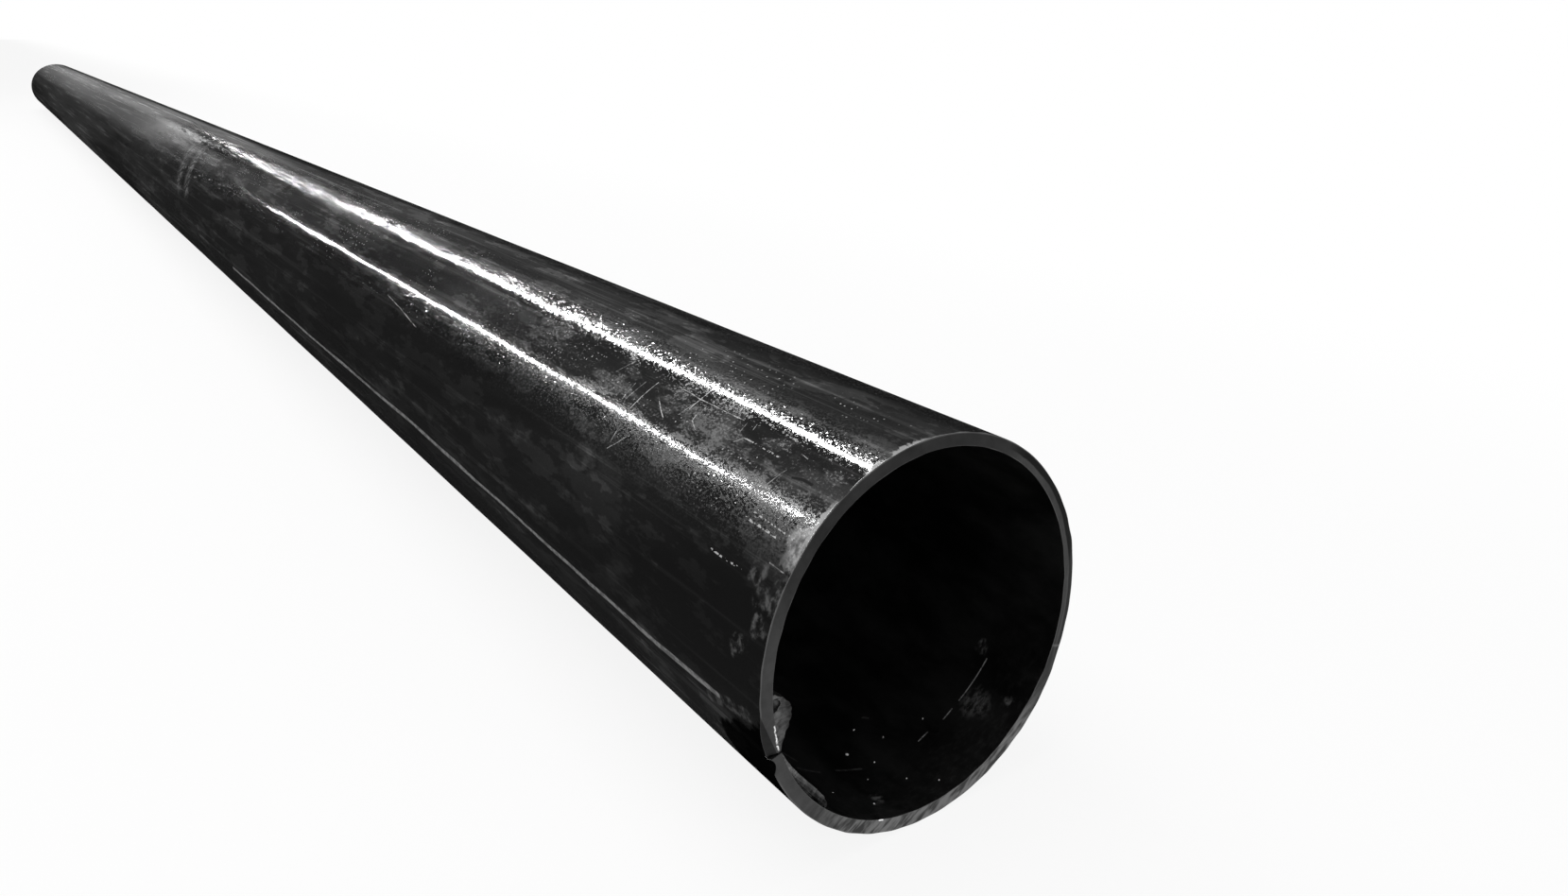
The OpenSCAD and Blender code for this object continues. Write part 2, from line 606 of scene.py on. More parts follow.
    def outside_rings(self, angle: np.ndarray) -> list[Ring]:
        """The rings of the outside, from the far end to the rough one."""
        longest, half_len = self.outside_longest, self.sizes.near_x
        near_back, far_back = (graded(*steps, longest, half_len) for steps in self.outside_steps)
        near_edge, far_edge = (self.face_ring(angle, 0.0, end)[0] for end in (End.ROUGH, End.FAR))
        rings = []
        for back in far_back[:-1]:
            along = self.along(back, far_edge, End.FAR)
            rings.append((along, self.outside_radius(angle, along)))
        for back in near_back[::-1]:
            along = self.along(back, near_edge, End.ROUGH)
            bite = self.rough.bite(self.sizes, angle, self.sizes.near_x - along - self.sizes.saw_back)
            rings.append((along, self.outside_radius(angle, along) - bite))
        return rings

    def bore_rings(self, angle: np.ndarray) -> list[Ring]:
        """The rings of the bore, from the rough end to the far one."""
        longest, half_len = self.bore_longest, self.sizes.near_x
        near_back, far_back = (graded(*steps, longest, half_len) for steps in self.bore_steps)
        near_edge, far_edge = (self.face_ring(angle, 1.0, end)[0] for end in (End.ROUGH, End.FAR))
        places = [self.along(back, near_edge, End.ROUGH) for back in near_back]
        places += [self.along(back, far_edge, End.FAR) for back in far_back[-2::-1]]
        return [(along, self.bore_radius(angle, along)) for along in places]


@dataclass(frozen=True)
class FlashLip:
    """One torn lip of the inside flash, from the weld line round to its free end, curled over a hollow."""

    name: str
    turned: Turn
    span: float
    height: float
    crest: float
    fullness: float
    hollow: Pair
    hollow_h: float
    hollow_crest: float
    hollow_back: Pair
    seed: int
    lump_h: float
    length: float = 18.0
    set_back: float = 0.5
    runout: float = 10.5
    root: float = 1.98
    proud: float = 0.3
    least_thick: float = 0.35
    least_hollow: float = 0.25
    drag_share: float = 0.7
    lump_gain: float = 2.2
    ragged_h: float = 0.3
    ragged_len: float = 4.0
    pit_h: float = 0.22
    torn_stretch: float = 3.0
    pit_stretch: float = 4.0
    fine_steps: int = 2001
    point_step: float = 0.62
    row_step: float = 0.62
    thick_rows: int = 6

    @staticmethod
    def rise(share: np.ndarray, crest: float, fullness: float) -> np.ndarray:
        """The rise at a share of the span: nothing at both ends, and 1 at the crest."""
        share = np.clip(share, 0.0, 1.0)
        falling = fullness * (1 - crest) / crest
        return (share / crest) ** fullness * ((1 - share) / (1 - crest)) ** falling

    def shares(self, sizes: PipeSizes) -> np.ndarray:
        """The shares of the span at which the lip has points, about a step apart along its edge."""
        fine = np.linspace(0.0, 1.0, self.fine_steps)
        radius = sizes.mouth_r - self.height * self.rise(fine, self.crest, self.fullness)
        turn = np.radians(fine * self.span)
        run = np.hypot(np.diff(radius * np.cos(turn)), np.diff(radius * np.sin(turn)))
        length = np.concatenate([[0.0], np.cumsum(run)])
        count = round(length[-1] / self.point_step)
        return np.interp(np.linspace(0, length[-1], count), length, fine)

    def section(self, sizes: PipeSizes, back: float) -> tuple[np.ndarray, np.ndarray, np.ndarray]:
        """The lip across the pipe, at a distance behind its front.

        Args:
            sizes: The pipe's sizes.
            back: Distance behind the lip's front.

        Returns:
            The angle of each point, the radius of the free side and the radius of the rooted side.
        """
        share = self.shares(sizes)
        angle = self.turned * share * self.span
        depth = np.full_like(angle, back)
        body = self.length - self.set_back
        left = float(1 - smooth_step(body - self.runout, body, np.array(back)))
        lumps = Ripple(self.seed, lobes=18, per_turn=(40, 150), lengths=(9.0, 60.0)).at(angle, depth)
        drag = Ripple(self.seed + 1, lobes=14, per_turn=(60, 190), lengths=(60.0, 300.0)).at(angle, depth)
        shape = self.rise(share, self.crest, self.fullness)
        free = sizes.mouth_r - (self.height * left + sizes.mouth_rise) * shape
        uneven = self.lump_h * (lumps + self.drag_share * drag)
        free = free - uneven * np.minimum(shape * self.lump_gain, 1.0) * left
        inside = (share - self.hollow[0]) / (self.hollow[1] - self.hollow[0])
        deep = float(1 - smooth_step(*self.hollow_back, np.array(back)))
        hollow = (self.hollow_h * deep + sizes.mouth_rise) * self.rise(inside, self.hollow_crest, 1.0)
        open_here = (inside > 0) & (inside < 1) & (hollow * left > self.least_hollow)
        rooted = np.where(open_here, sizes.mouth_r - hollow * left, sizes.bore_r + self.root)
        rooted = np.maximum(rooted, free + self.least_thick)
        return angle, np.minimum(free, sizes.mouth_r + self.proud), rooted

    def grid(self, sizes: PipeSizes, back: float, front: bool) -> np.ndarray:
        """The lip's points across the pipe, from its free side to its rooted one.

        Args:
            sizes: The pipe's sizes.
            back: Distance behind the lip's front.
            front: True for the torn face that looks out of the pipe.

        Returns:
            Points in metres: rows through the thickness, columns along the span.
        """
        angle, free, rooted = self.section(sizes, back)
        torn = Ripple(self.seed + 2, lobes=12, per_turn=(30, 120), lengths=(6.0, 30.0))
        torn_here = np.abs(1 + torn.at(angle, free * self.torn_stretch))
        ragged = self.ragged_h * torn_here * max(0.0, 1 - back / self.ragged_len)
        pits = Ripple(self.seed + 5, lobes=14, per_turn=(60, 160), lengths=(4.0, 14.0))
        rows = []
        for row in range(self.thick_rows + 1):
            radius = free + (rooted - free) * row / self.thick_rows
            inner = front and 0 < row < self.thick_rows
            dent = self.pit_h * np.abs(pits.at(angle, radius * self.pit_stretch)) if inner else 0.0
            rows.append(sizes.placed(sizes.near_x - self.set_back - back - ragged - dent, radius, angle))
        return np.array(rows)

    def build(self, sizes: PipeSizes, finishes: list[bpy.types.Material]) -> bpy.types.Object:
        """Makes the lip as a closed form that roots in the wall.

        Args:
            sizes: The pipe's sizes.
            finishes: The material of each zone.

        Returns:
            The lip, in its place.
        """
        body = self.length - self.set_back
        backs = np.linspace(0.0, body, round(body / self.row_step) + 1)
        grids = [self.grid(sizes, back, spot == 0) for spot, back in enumerate(backs)]
        high, wide = grids[0].shape[:2]
        index = np.arange(high * wide).reshape(high, wide)
        border = np.concatenate([index[0], index[1:, -1], index[-1, -2::-1], index[-2:0:-1, 0]])
        points, loops = [], []
        for spot, grid in enumerate(grids):
            total = sum(len(part) for part in points)
            flat = grid.reshape(-1, 3)
            whole = spot in (0, len(grids) - 1)
            points.append(flat if whole else flat[border])
            loops.append(total + (border if whole else np.arange(len(border))))
        faces = []
        for here, after in pairwise(loops):
            faces += quads(np.stack([np.append(here, here[0]), np.append(after, after[0])]))
        last = sum(len(part) for part in points) - high * wide
        faces += [face[::-1] for face in quads(index)] + quads(index + last)
        if self.turned is Turn.DOWN:
            faces = [face[::-1] for face in faces]
        return mesh_object(self.name, np.concatenate(points), faces, [Zone.FLASH] * len(faces), finishes)


def united(whole: bpy.types.Object, parts: list[bpy.types.Object], name: str) -> bpy.types.Object:
    """Joins closed meshes into one closed mesh.

    Args:
        whole: The mesh that the others grow from.
        parts: The others. They and the whole are deleted once they are joined.
        name: The name of the result.

    Returns:
        The joined object.
    """
    for part in parts:
        joint = whole.modifiers.new(part.name, "BOOLEAN")
        joint.operation = "UNION"
        joint.solver = "MANIFOLD"
        joint.object = part
    graph = bpy.context.evaluated_depsgraph_get()
    mesh = bpy.data.meshes.new_from_object(whole.evaluated_get(graph))
    mesh.name = name
    made = bpy.data.objects.new(name, mesh)
    bpy.context.scene.collection.objects.link(made)
    for used in [whole, *parts]:
        bpy.data.objects.remove(used)
    return made


@dataclass
class WeldedPipe:
    """The pipe: its wall and the two torn lips of the flash, joined into one piece."""

    sizes: PipeSizes
    finishes: list[bpy.types.Material]
    sharp_angle: float = 38.0
    lips: tuple[FlashLip, ...] = (
        FlashLip(
            name="upper_lip", turned=Turn.UP, span=18.0, height=10.3, crest=0.62, fullness=1.5,
            hollow=(0.68, 0.93), hollow_h=4.2, hollow_crest=0.55, hollow_back=(1.0, 5.0),
            seed=61, lump_h=0.2,
        ),
        FlashLip(
            name="lower_lip", turned=Turn.DOWN, span=29.0, height=4.8, crest=0.74, fullness=1.3,
            hollow=(0.36, 0.97), hollow_h=1.3, hollow_crest=0.75, hollow_back=(0.2, 1.4),
            seed=71, lump_h=0.05,
        ),
    )

    def build(self) -> bpy.types.Object:
        """Makes the pipe's mesh, smooth but for its sharp edges.

        Returns:
            The closed pipe, in its place.
        """
        wall = PipeWall(self.sizes, self.finishes).build()
        lips = [lip.build(self.sizes, self.finishes) for lip in self.lips]
        for part in (wall, *lips):
            log.info("%s: %d faces", part.name, len(part.data.polygons))
        pipe = united(wall, lips, "welded_pipe")
        pipe.data.shade_smooth()
        pipe.data.set_sharp_from_angle(angle=math.radians(self.sharp_angle))
        return pipe


class Bench:
    """The nodes of one material or world, made and joined in short calls."""

    def __init__(self, tree: bpy.types.NodeTree) -> None:
        """Takes a node tree and empties it."""
        self.tree = tree
        tree.nodes.clear()

    @classmethod
    def material(cls, name: str) -> tuple["Bench", bpy.types.Material]:
        """Starts a material and the bench for its nodes."""
        made = bpy.data.materials.new(name)
        made.use_nodes = True
        return cls(made.node_tree), made

    def feed(self, socket: Socket, value: Value) -> None:
        """Joins a socket to another one, or sets its value."""
        if isinstance(value, Socket):
            self.tree.links.new(value, socket)
        else:
            socket.default_value = value

    def add(self, kind: str, sockets: Sockets | None = None, **settings: object) -> bpy.types.Node:
        """Adds a node.

        Args:
            kind: Its type, without the words that all shader nodes start with.
            sockets: What goes into its inputs.
            settings: Its other settings.

        Returns:
            The node.
        """
        node = self.tree.nodes.new("ShaderNode" + kind)
        for name, value in settings.items():
            setattr(node, name, value)
        for name, value in (sockets or {}).items():
            self.feed(node.inputs[name], value)
        return node

    def math(self, operation: str, *values: Value, clamp: bool = False) -> Socket:
        """What an operation makes of numbers."""
        return self.add("Math", dict(enumerate(values)), operation=operation, use_clamp=clamp).outputs[0]

    def vector(self, operation: str, *values: Value) -> Socket:
        """What an operation makes of vectors: a vector, or a number for a length or a dot product."""
        node = self.add("VectorMath", dict(enumerate(values)), operation=operation)
        return node.outputs["Value" if operation in ("DOT_PRODUCT", "LENGTH") else "Vector"]

    def scaled(self, vector: Value, times: Value) -> Socket:
        """A vector times a number."""
        return self.add("VectorMath", {0: vector, "Scale": times}, operation="SCALE").outputs["Vector"]

    def shifted(self, colour: Socket, reach: float) -> Socket:
        """A vector of as much as the reach either way, from a colour of 0 to 1."""
        return self.vector("MULTIPLY_ADD", colour, (2 * reach,) * 3, (-reach,) * 3)

    def over(self, operation: str, values: Sequence[Value]) -> Socket:
        """One operation over two or more numbers, from left to right."""
        return reduce(partial(self.math, operation), values)

    def times(self, *values: Value) -> Socket:
        """The product of two or more numbers."""
        return self.over("MULTIPLY", values)

    def plus(self, *values: Value) -> Socket:
        """The sum of two or more numbers."""
        return self.over("ADD", values)

    def highest(self, *values: Value) -> Socket:
        """The largest of two or more numbers."""
        return self.over("MAXIMUM", values)

    def less(self, value: Value, taken: Value) -> Socket:
        """A value less another one."""
        return self.math("SUBTRACT", value, taken)

    def centred(self, value: Value) -> Socket:
        """A value from 0 to 1, moved to lie round 0."""
        return self.less(value, 0.5)

    def inverse(self, value: Value) -> Socket:
        """One less the value."""
        return self.less(1.0, value)

    def between(self, value: Value, fade: Fade) -> Socket:
        """Goes smoothly from a fade's start to its end as a value goes from its low to its high."""
        sockets = {"Value": value, "From Min": fade.low, "From Max": fade.high}
        sockets |= {"To Min": fade.start, "To Max": fade.end}
        return self.add("MapRange", sockets, interpolation_type="SMOOTHSTEP").outputs["Result"]

    def peak(self, value: Value, middle: float, half_width: float) -> Socket:
        """1 where a value is at the middle, falling to 0 at the half width on either side."""
        off = self.math("ABSOLUTE", self.less(value, middle))
        return self.between(off, Fade(0.0, half_width, 1.0, 0.0))

    def window(self, value: Value, arc: Arc) -> Socket:
        """1 while a value is within a stretch, with soft edges."""
        rising = self.between(value, Fade(arc.low - arc.soft, arc.low + arc.soft))
        falling = self.between(value, Fade(arc.high - arc.soft, arc.high + arc.soft, 1.0, 0.0))
        return self.times(rising, falling)

    def noise(self, place: Socket, cloud: Cloud) -> Socket:
        """Cloudy noise over places in millimetres, faded where the cloud says so."""
        sockets = {"Vector": place, "Scale": 1.0 / cloud.size, "Detail": cloud.detail}
        sockets |= {"Roughness": cloud.rough, "Distortion": cloud.twist}
        found = self.add("TexNoise", sockets).outputs["Fac"]
        return self.between(found, cloud.fade) if cloud.fade else found

    def mix(self, factor: Value, low: Value, high: Value) -> Socket:
        """A number between two others."""
        return self.add("Mix", {0: factor, 2: low, 3: high}, data_type="FLOAT").outputs[0]

    def where(self, factor: Value, value: Value) -> Socket:
        """The value where the factor is 1, and 1 where it is 0."""
        return self.mix(factor, 1.0, value)

    def parts(self, vector: Socket) -> Outputs:
        """The three parts of a vector, by the names of the axes."""
        return self.add("SeparateXYZ", {0: vector}).outputs

    def bump(self, height: Socket, depth: float, under: Socket | None = None) -> Socket:
        """Raises the surface by a height, given in millimetres once it is multiplied by the depth."""
        sockets: Sockets = {"Height": height, "Distance": depth * MM, "Strength": 1.0}
        if under is not None:
            sockets["Normal"] = under
        return self.add("Bump", sockets).outputs[0]

    def shader(self, level: Socket, uniform: Sockets) -> bpy.types.Node:
        """A shader of a grey level, with what is the same all over the surface."""
        colour = self.add("CombineColor", {0: level, 1: level, 2: level}).outputs[0]
        return self.add("BsdfPrincipled", {"Base Color": colour, **uniform})

    def finish(self, shader: bpy.types.Node, turned: Socket) -> None:
        """Gives a shader its turned surface, and the material its shader."""
        self.feed(shader.inputs["Normal"], turned)
        self.surface(shader.outputs[0])

    def surface(self, shader: Socket) -> None:
        """Gives the material its surface."""
        self.add("OutputMaterial", {"Surface": shader})


class Skin:
    """Where a point lies on the pipe, for the nodes of one material."""

    # Over each such length from the rough end, noise is drawn out once more
    shrink_len: float = 900.0
    sway: Cloud = Cloud(11.0, stretch=6.0)
    sway_reach: float = 4.5
    waver_size: float = 5.0
    waver_reach: float = 4.0
    waver_detail: float = 2.0
    stir_stretch: float = 1.6
    broken: Cloud = Cloud(4.0, detail=4.0, rough=0.7, stretch=1.5, fade=Fade(0.44, 0.54))
    stroke_edge: Pair = (0.35, 0.65)
    grain_reach: float = 0.9
    least_dot: float = 0.4
    dot_edge: float = 0.25
    least_scratch: float = 0.35
    scratch_edge: float = 0.4
    scratch_tip: float = 2.0

    def __init__(self, bench: Bench, sizes: PipeSizes) -> None:
        """Makes the sockets that say where a point is.

        Args:
            bench: The bench of the material.
            sizes: The pipe's sizes.
        """
        self.bench = bench
        self.per_degree = sizes.per_degree
        spot = bench.add("TexCoord").outputs["Object"]
        seam_turn = (math.radians(sizes.seam_angle), 0.0, 0.0)
        seated = {"Vector": spot, "Location": (0.0, 0.0, sizes.axis_z * MM), "Rotation": seam_turn}
        turned = bench.add("Mapping", seated, vector_type="TEXTURE")
        self.solid = bench.scaled(turned.outputs[0], 1.0 / MM)
        parts = bench.parts(self.solid)
        self.back = bench.less(sizes.near_x, parts["X"])
        turn = bench.math("ARCTAN2", parts["Z"], parts["Y"])
        self.angle = bench.math("DEGREES", turn)
        across, up = bench.times(parts["Y"], parts["Y"]), bench.times(parts["Z"], parts["Z"])
        self.radius = bench.math("SQRT", bench.plus(across, up))
        round_mm = bench.times(turn, sizes.outside_r)
        self.flat = bench.add("CombineXYZ", {0: self.back, 1: round_mm}).outputs[0]
        lengths = bench.times(self.back, 1 / self.shrink_len)
        shrunk = bench.math("LOGARITHM", bench.plus(lengths, 1.0), math.e)
        rolled = {0: bench.times(shrunk, self.shrink_len), 1: parts["Y"], 2: parts["Z"]}
        self.rolled = bench.add("CombineXYZ", rolled).outputs[0]
        sway = bench.times(bench.centred(self.cloud(self.sway)), self.sway_reach)
        self.hand_drawn = bench.add("CombineXYZ", {0: self.back, 1: bench.plus(round_mm, sway)}).outputs[0]
        self.wavering = self.ragged(self.flat, self.waver_size, self.waver_reach)
        stir = {"Vector": self.drawn_out(self.stir_stretch), "Scale": 1.0, "Detail": 1.0}
        self.stir = bench.add("TexNoise", stir).outputs["Color"]
        self.gaps = self.cloud(self.broken)

    def drawn_out(self, times: float) -> Socket:
        """Places for noise that is drawn out along the pipe by so many times, and by more further back."""
        return self.bench.vector("MULTIPLY", self.rolled, (1.0 / times, 1.0, 1.0))

    def cloud(self, cloud: Cloud) -> Socket:
        """Cloudy noise in the steel, drawn out along the pipe where the cloud says so."""
        return self.bench.noise(self.drawn_out(cloud.stretch) if cloud.stretch else self.solid, cloud)

    def streaks(self, cloud: Cloud, length: float) -> Socket:
        """Cloudy noise on the unrolled skin, of one length along the pipe wherever it is."""
        spots = self.bench.vector("MULTIPLY", self.flat, (1 / length, 1 / cloud.size, 0.0))
        return self.bench.noise(spots, replace(cloud, size=1.0))

    def unrolled(self, spot: Spot) -> Vector:
        """Where a spot lies on the unrolled skin."""
        return Vector((spot[0], spot[1] * self.per_degree, 0.0))

    def off(self, place: Socket, spot: Spot) -> Socket:
        """The way from a spot to a place on the unrolled skin."""
        return self.bench.vector("SUBTRACT", place, tuple(self.unrolled(spot)))

    def stroke(self, start: Spot, end: Spot, width: float) -> Socket:
        """A straight mark on the skin.

        Args:
            start: The spot where it starts.
            end: The spot where it ends.
            width: Its width in millimetres.

        Returns:
            1 on the mark and 0 off it.
        """
        bench = self.bench
        run = self.unrolled(end) - self.unrolled(start)
        off = self.off(self.hand_drawn, start)
        reached = bench.vector("DOT_PRODUCT", off, tuple(run))
        share = bench.math("DIVIDE", reached, run.length_squared, clamp=True)
        gap = bench.vector("LENGTH", bench.vector("SUBTRACT", off, bench.scaled(tuple(run), share)))
        full, none = self.stroke_edge
        return bench.between(gap, Fade(width * full, width * none, 1.0, 0.0))

    def strokes(self, runs: Sequence[Run], width: float) -> Value:
        """Marks that run from spot to spot, each joined to the rest at once to keep the material small."""
        found: Value = 0.0
        for spots in runs:
            for start, end in pairwise(spots):
                found = self.bench.highest(found, self.stroke(start, end, width))
        return found

    def round_spot(self, spot: Spot) -> Socket:
        """The distance from a spot, with a wavering edge."""
        return self.bench.vector("LENGTH", self.off(self.wavering, spot))

    def ragged(self, place: Socket, size: float, reach: float) -> Socket:
        """Places shifted at random, so that what is drawn there gets ragged edges.

        Args:
            place: The places, in millimetres.
            size: The size of a shift's patches.
            reach: How far a place is shifted at most.

        Returns:
            The shifted places.
        """
        sockets = {"Vector": place, "Scale": 1.0 / size, "Detail": self.waver_detail}
        shift = self.bench.add("TexNoise", sockets).outputs["Color"]
        return self.bench.vector("ADD", place, self.bench.shifted(shift, reach))

    def grains(self, size: float, stretch: float, lean: Value) -> Socket:
        """A random lean for each grain of the skin, mostly next to none, to be added to its direction.

        Args:
            size: The size of a grain in millimetres.
            stretch: How many times a grain is as long as it is wide.
            lean: The most that a grain leans, as a slope.

        Returns:
            What to add to the direction.
        """
        bench = self.bench
        shift = bench.shifted(self.stir, self.grain_reach * size)
        place = bench.vector("ADD", self.drawn_out(stretch), shift)
        cells = bench.add("TexVoronoi", {"Vector": place, "Scale": 1.0 / size})
        chance = bench.shifted(cells.outputs["Color"], 1.0)
        square = bench.vector("MULTIPLY", chance, chance)
        fifth = bench.vector("MULTIPLY", chance, bench.vector("MULTIPLY", square, square))
        return bench.scaled(fifth, lean)

    def cells(self, size: float) -> Outputs:
        """The cells of the unrolled skin that hold a loose mark each."""
        sockets = {"Vector": self.flat, "Scale": 1.0 / size}
        return self.bench.add("TexVoronoi", sockets, voronoi_dimensions="2D").outputs

    def loose_dots(self, dots: Dots) -> Socket:
        """Small dots, at most one to a cell of the skin: 1 on a dot and 0 off it."""
        bench, cells = self.bench, self.cells(dots.cell)
        chance = bench.parts(cells["Color"])
        size = bench.times(bench.mix(chance["X"], self.least_dot, 1.0), dots.radius)
        gap = bench.less(bench.times(cells["Distance"], dots.cell), size)
        inside = bench.between(gap, Fade(0.0, self.dot_edge, 1.0, 0.0))
        return bench.times(inside, bench.math("LESS_THAN", chance["Y"], dots.kept))

    def loose_scratches(self, kind: Scratches) -> Socket:
        """Short straight scratches, at most one to a cell of the skin, each with its own lean.

        Args:
            kind: The size and number of the scratches, and how far they lean.

        Returns:
            1 on a scratch and 0 off it.
        """
        bench, cells = self.bench, self.cells(kind.cell)
        middle = bench.scaled(cells["Position"], kind.cell)
        chance = bench.parts(cells["Color"])
        off = bench.vector("SUBTRACT", self.flat, middle)
        turned = bench.add("VectorRotate", {"Vector": off}, rotation_type="Z_AXIS")
        lean = bench.times(bench.centred(chance["X"]), 2 * math.radians(kind.lean))
        bench.feed(turned.inputs["Angle"], lean)
        apart = bench.parts(turned.outputs[0])
        reach = bench.times(bench.mix(chance["Y"], self.least_scratch, 1.0), kind.length)
        beyond = bench.less(bench.math("ABSOLUTE", apart["Y"]), reach)
        edge = Fade(kind.width * self.scratch_edge, kind.width, 1.0, 0.0)
        thin = bench.between(bench.math("ABSOLUTE", apart["X"]), edge)
        short = bench.between(beyond, Fade(-self.scratch_tip, 0.0, 1.0, 0.0))
        return bench.times(thin, short, bench.math("LESS_THAN", chance["Z"], kind.kept))


@dataclass(frozen=True)
class ScaleMarks:
    """The marks on the skin: the ones that stand out in their places, and loose ones between them."""

    scratches: tuple[Run, ...] = (
        ((200.5, -78.9), (201.8, -66.4)),
        ((153.8, -84.9), (153.2, -76.1)),
        ((182.8, -73.9), (176.3, -71.8), (167.2, -69.6)),
        ((143.4, -75.7), (142.1, -73.3), (132.7, -71.0)),
        ((179.9, -81.0), (155.1, -80.5), (124.6, -80.6), (106.7, -81.0)),
        ((43.2, -68.0), (43.3, -64.5)),
        ((198.5, -59.2), (197.9, -54.5)),
    )
    scratch_w: float = 0.6
    faint_scratches: tuple[Run, ...] = (
        ((211.0, -77.2), (213.1, -68.2)),
        ((218.5, -75.3), (216.4, -67.9)),
        ((241.0, -82.8), (246.9, -75.6)),
        ((152.2, -80.8), (157.0, -72.9)),
        ((102.4, -80.6), (100.6, -77.2)),
        ((95.1, -81.6), (93.4, -79.2)),
        ((93.3, -76.2), (97.8, -73.3)),
        ((47.0, -73.5), (51.2, -67.9)),
        ((46.0, -79.6), (41.0, -79.2)),
        ((20.8, -68.0), (18.0, -65.2)),
        ((185.4, -58.3), (197.8, -52.1)),
        ((17.7, -50.4), (5.5, -50.3)),
        ((660.0, -56.1), (560.0, -51.2)),
    )
    faint_w: float = 0.5
    faint_share: float = 0.6
    scratch_gap: float = 0.25
    dotted_rows: tuple[Run, ...] = (
        ((95.5, -83.8), (58.3, -82.8)),
        ((93.3, -76.2), (59.7, -75.9)),
        ((46.3, -59.1), (15.3, -58.3)),
        ((51.8, -57.1), (15.2, -56.3)),
        ((64.0, -44.9), (35.6, -45.3)),
    )
    row_w: float = 1.0
    row_share: float = 0.8
    row_dots: Cloud = Cloud(1.7, detail=1.0, stretch=1.5, fade=Fade(0.50, 0.56))
    long_scratches: Scratches = Scratches(cell=34.0, length=16.0, width=0.3, lean=38.0, kept=0.5)
    short_scratches: Scratches = Scratches(cell=12.0, length=5.0, width=0.28, lean=60.0, kept=0.3)
    scratch_zone: Arc = Arc(-106.0, -54.0, 8.0)
    scratch_clumps: Cloud = Cloud(60.0, detail=2.0, fade=Fade(0.48, 0.6, 0.0, 0.5))
    dots: Dots = Dots(cell=4.2, radius=0.4, kept=0.3)
    dot_zone: Arc = Arc(-108.0, -56.0, 6.0)
    dot_clumps: Cloud = Cloud(30.0, detail=2.0, stretch=2.0, fade=Fade(0.50, 0.58))
    long_pale_lines: tuple[Run, ...] = (
        (
            (1320.0, -8.8), (930.0, -7.9), (530.0, -9.9), (282.0, -8.7), (188.0, -7.8), (79.0, -8.0),
            (41.0, -8.6),
        ),
    )
    line_w: float = 3.2
    line_gap: float = 0.5
    fine_lines: Cloud = Cloud(2.6, detail=2.0, fade=Fade(0.70, 0.78, 0.0, 0.09))
    fine_line_len: float = 420.0
    fine_line_zone: Fade = Fade(-60.0, -40.0)
    broad_bands: Cloud = Cloud(9.0, detail=4.0, rough=0.7, fade=Fade(0.52, 0.68))
    broad_band_len: float = 650.0
    rings: tuple[tuple[Spot, float], ...] = (
        ((13.3, -41.9), 4.6), ((2.1, -46.7), 3.4), ((2.8, -41.9), 3.0), ((22.7, -47.2), 4.6),
        ((21.0, -45.5), 2.0), ((9.7, -34.9), 4.0), ((24.0, -27.0), 3.2), ((19.0, -28.5), 2.2),
    )
    ring_w: float = 3.4
    weld_band: Run = ((49.6, -5.8), (30.2, -8.9), (12.7, -10.9))
    weld_band_w: float = 8.0
    weld_band_share: float = 0.6
    blotch_clouds: Cloud = Cloud(6.0, rough=0.6, fade=Fade(0.42, 0.66))

    def scratched(self, skin: Skin) -> Socket:
        """Every scratch and dot."""
        bench = skin.bench
        clear = skin.strokes(self.scratches, self.scratch_w)
        faint = skin.strokes(self.faint_scratches, self.faint_w)
        drawn = bench.highest(clear, bench.times(faint, self.faint_share))
        broken = bench.times(drawn, bench.mix(skin.gaps, self.scratch_gap, 1.0))
        beads = skin.cloud(self.row_dots)
        dotted = bench.times(skin.strokes(self.dotted_rows, self.row_w), beads, self.row_share)
        long, short = skin.loose_scratches(self.long_scratches), skin.loose_scratches(self.short_scratches)
        loose = bench.highest(long, short)
        clumps = skin.cloud(self.scratch_clumps)
        zone = bench.times(bench.window(skin.angle, self.scratch_zone), clumps, skin.gaps)
        gathered = skin.cloud(self.dot_clumps)
        dots = bench.times(skin.loose_dots(self.dots), bench.window(skin.angle, self.dot_zone), gathered)
        return bench.highest(broken, dotted, bench.times(loose, zone), dots)

    def lines(self, skin: Skin) -> Socket:
        """Long thin pale lines along the pipe, the clearest beside the weld."""
        bench = skin.bench
        strokes = skin.strokes(self.long_pale_lines, self.line_w)
        clear = bench.times(strokes, bench.mix(skin.gaps, self.line_gap, 1.0))
        fine = skin.streaks(self.fine_lines, self.fine_line_len)
        return bench.highest(clear, bench.times(fine, bench.between(skin.angle, self.fine_line_zone)))

    def bands(self, skin: Skin) -> Socket:
        """Broader pale bands along the pipe."""
        return skin.streaks(self.broad_bands, self.broad_band_len)

    def blotches(self, skin: Skin) -> Socket:
        """Pale rings round loose scale behind the rough edge, and a pale band beside the burnt patch."""
        bench = skin.bench
        rings: Value = 0.0
        for spot, radius in self.rings:
            rings = bench.highest(rings, bench.peak(skin.round_spot(spot), radius, self.ring_w))
        band = skin.strokes([self.weld_band], self.weld_band_w)
        cloudy = skin.cloud(self.blotch_clouds)
        return bench.times(bench.highest(rings, bench.times(band, self.weld_band_share)), cloudy)


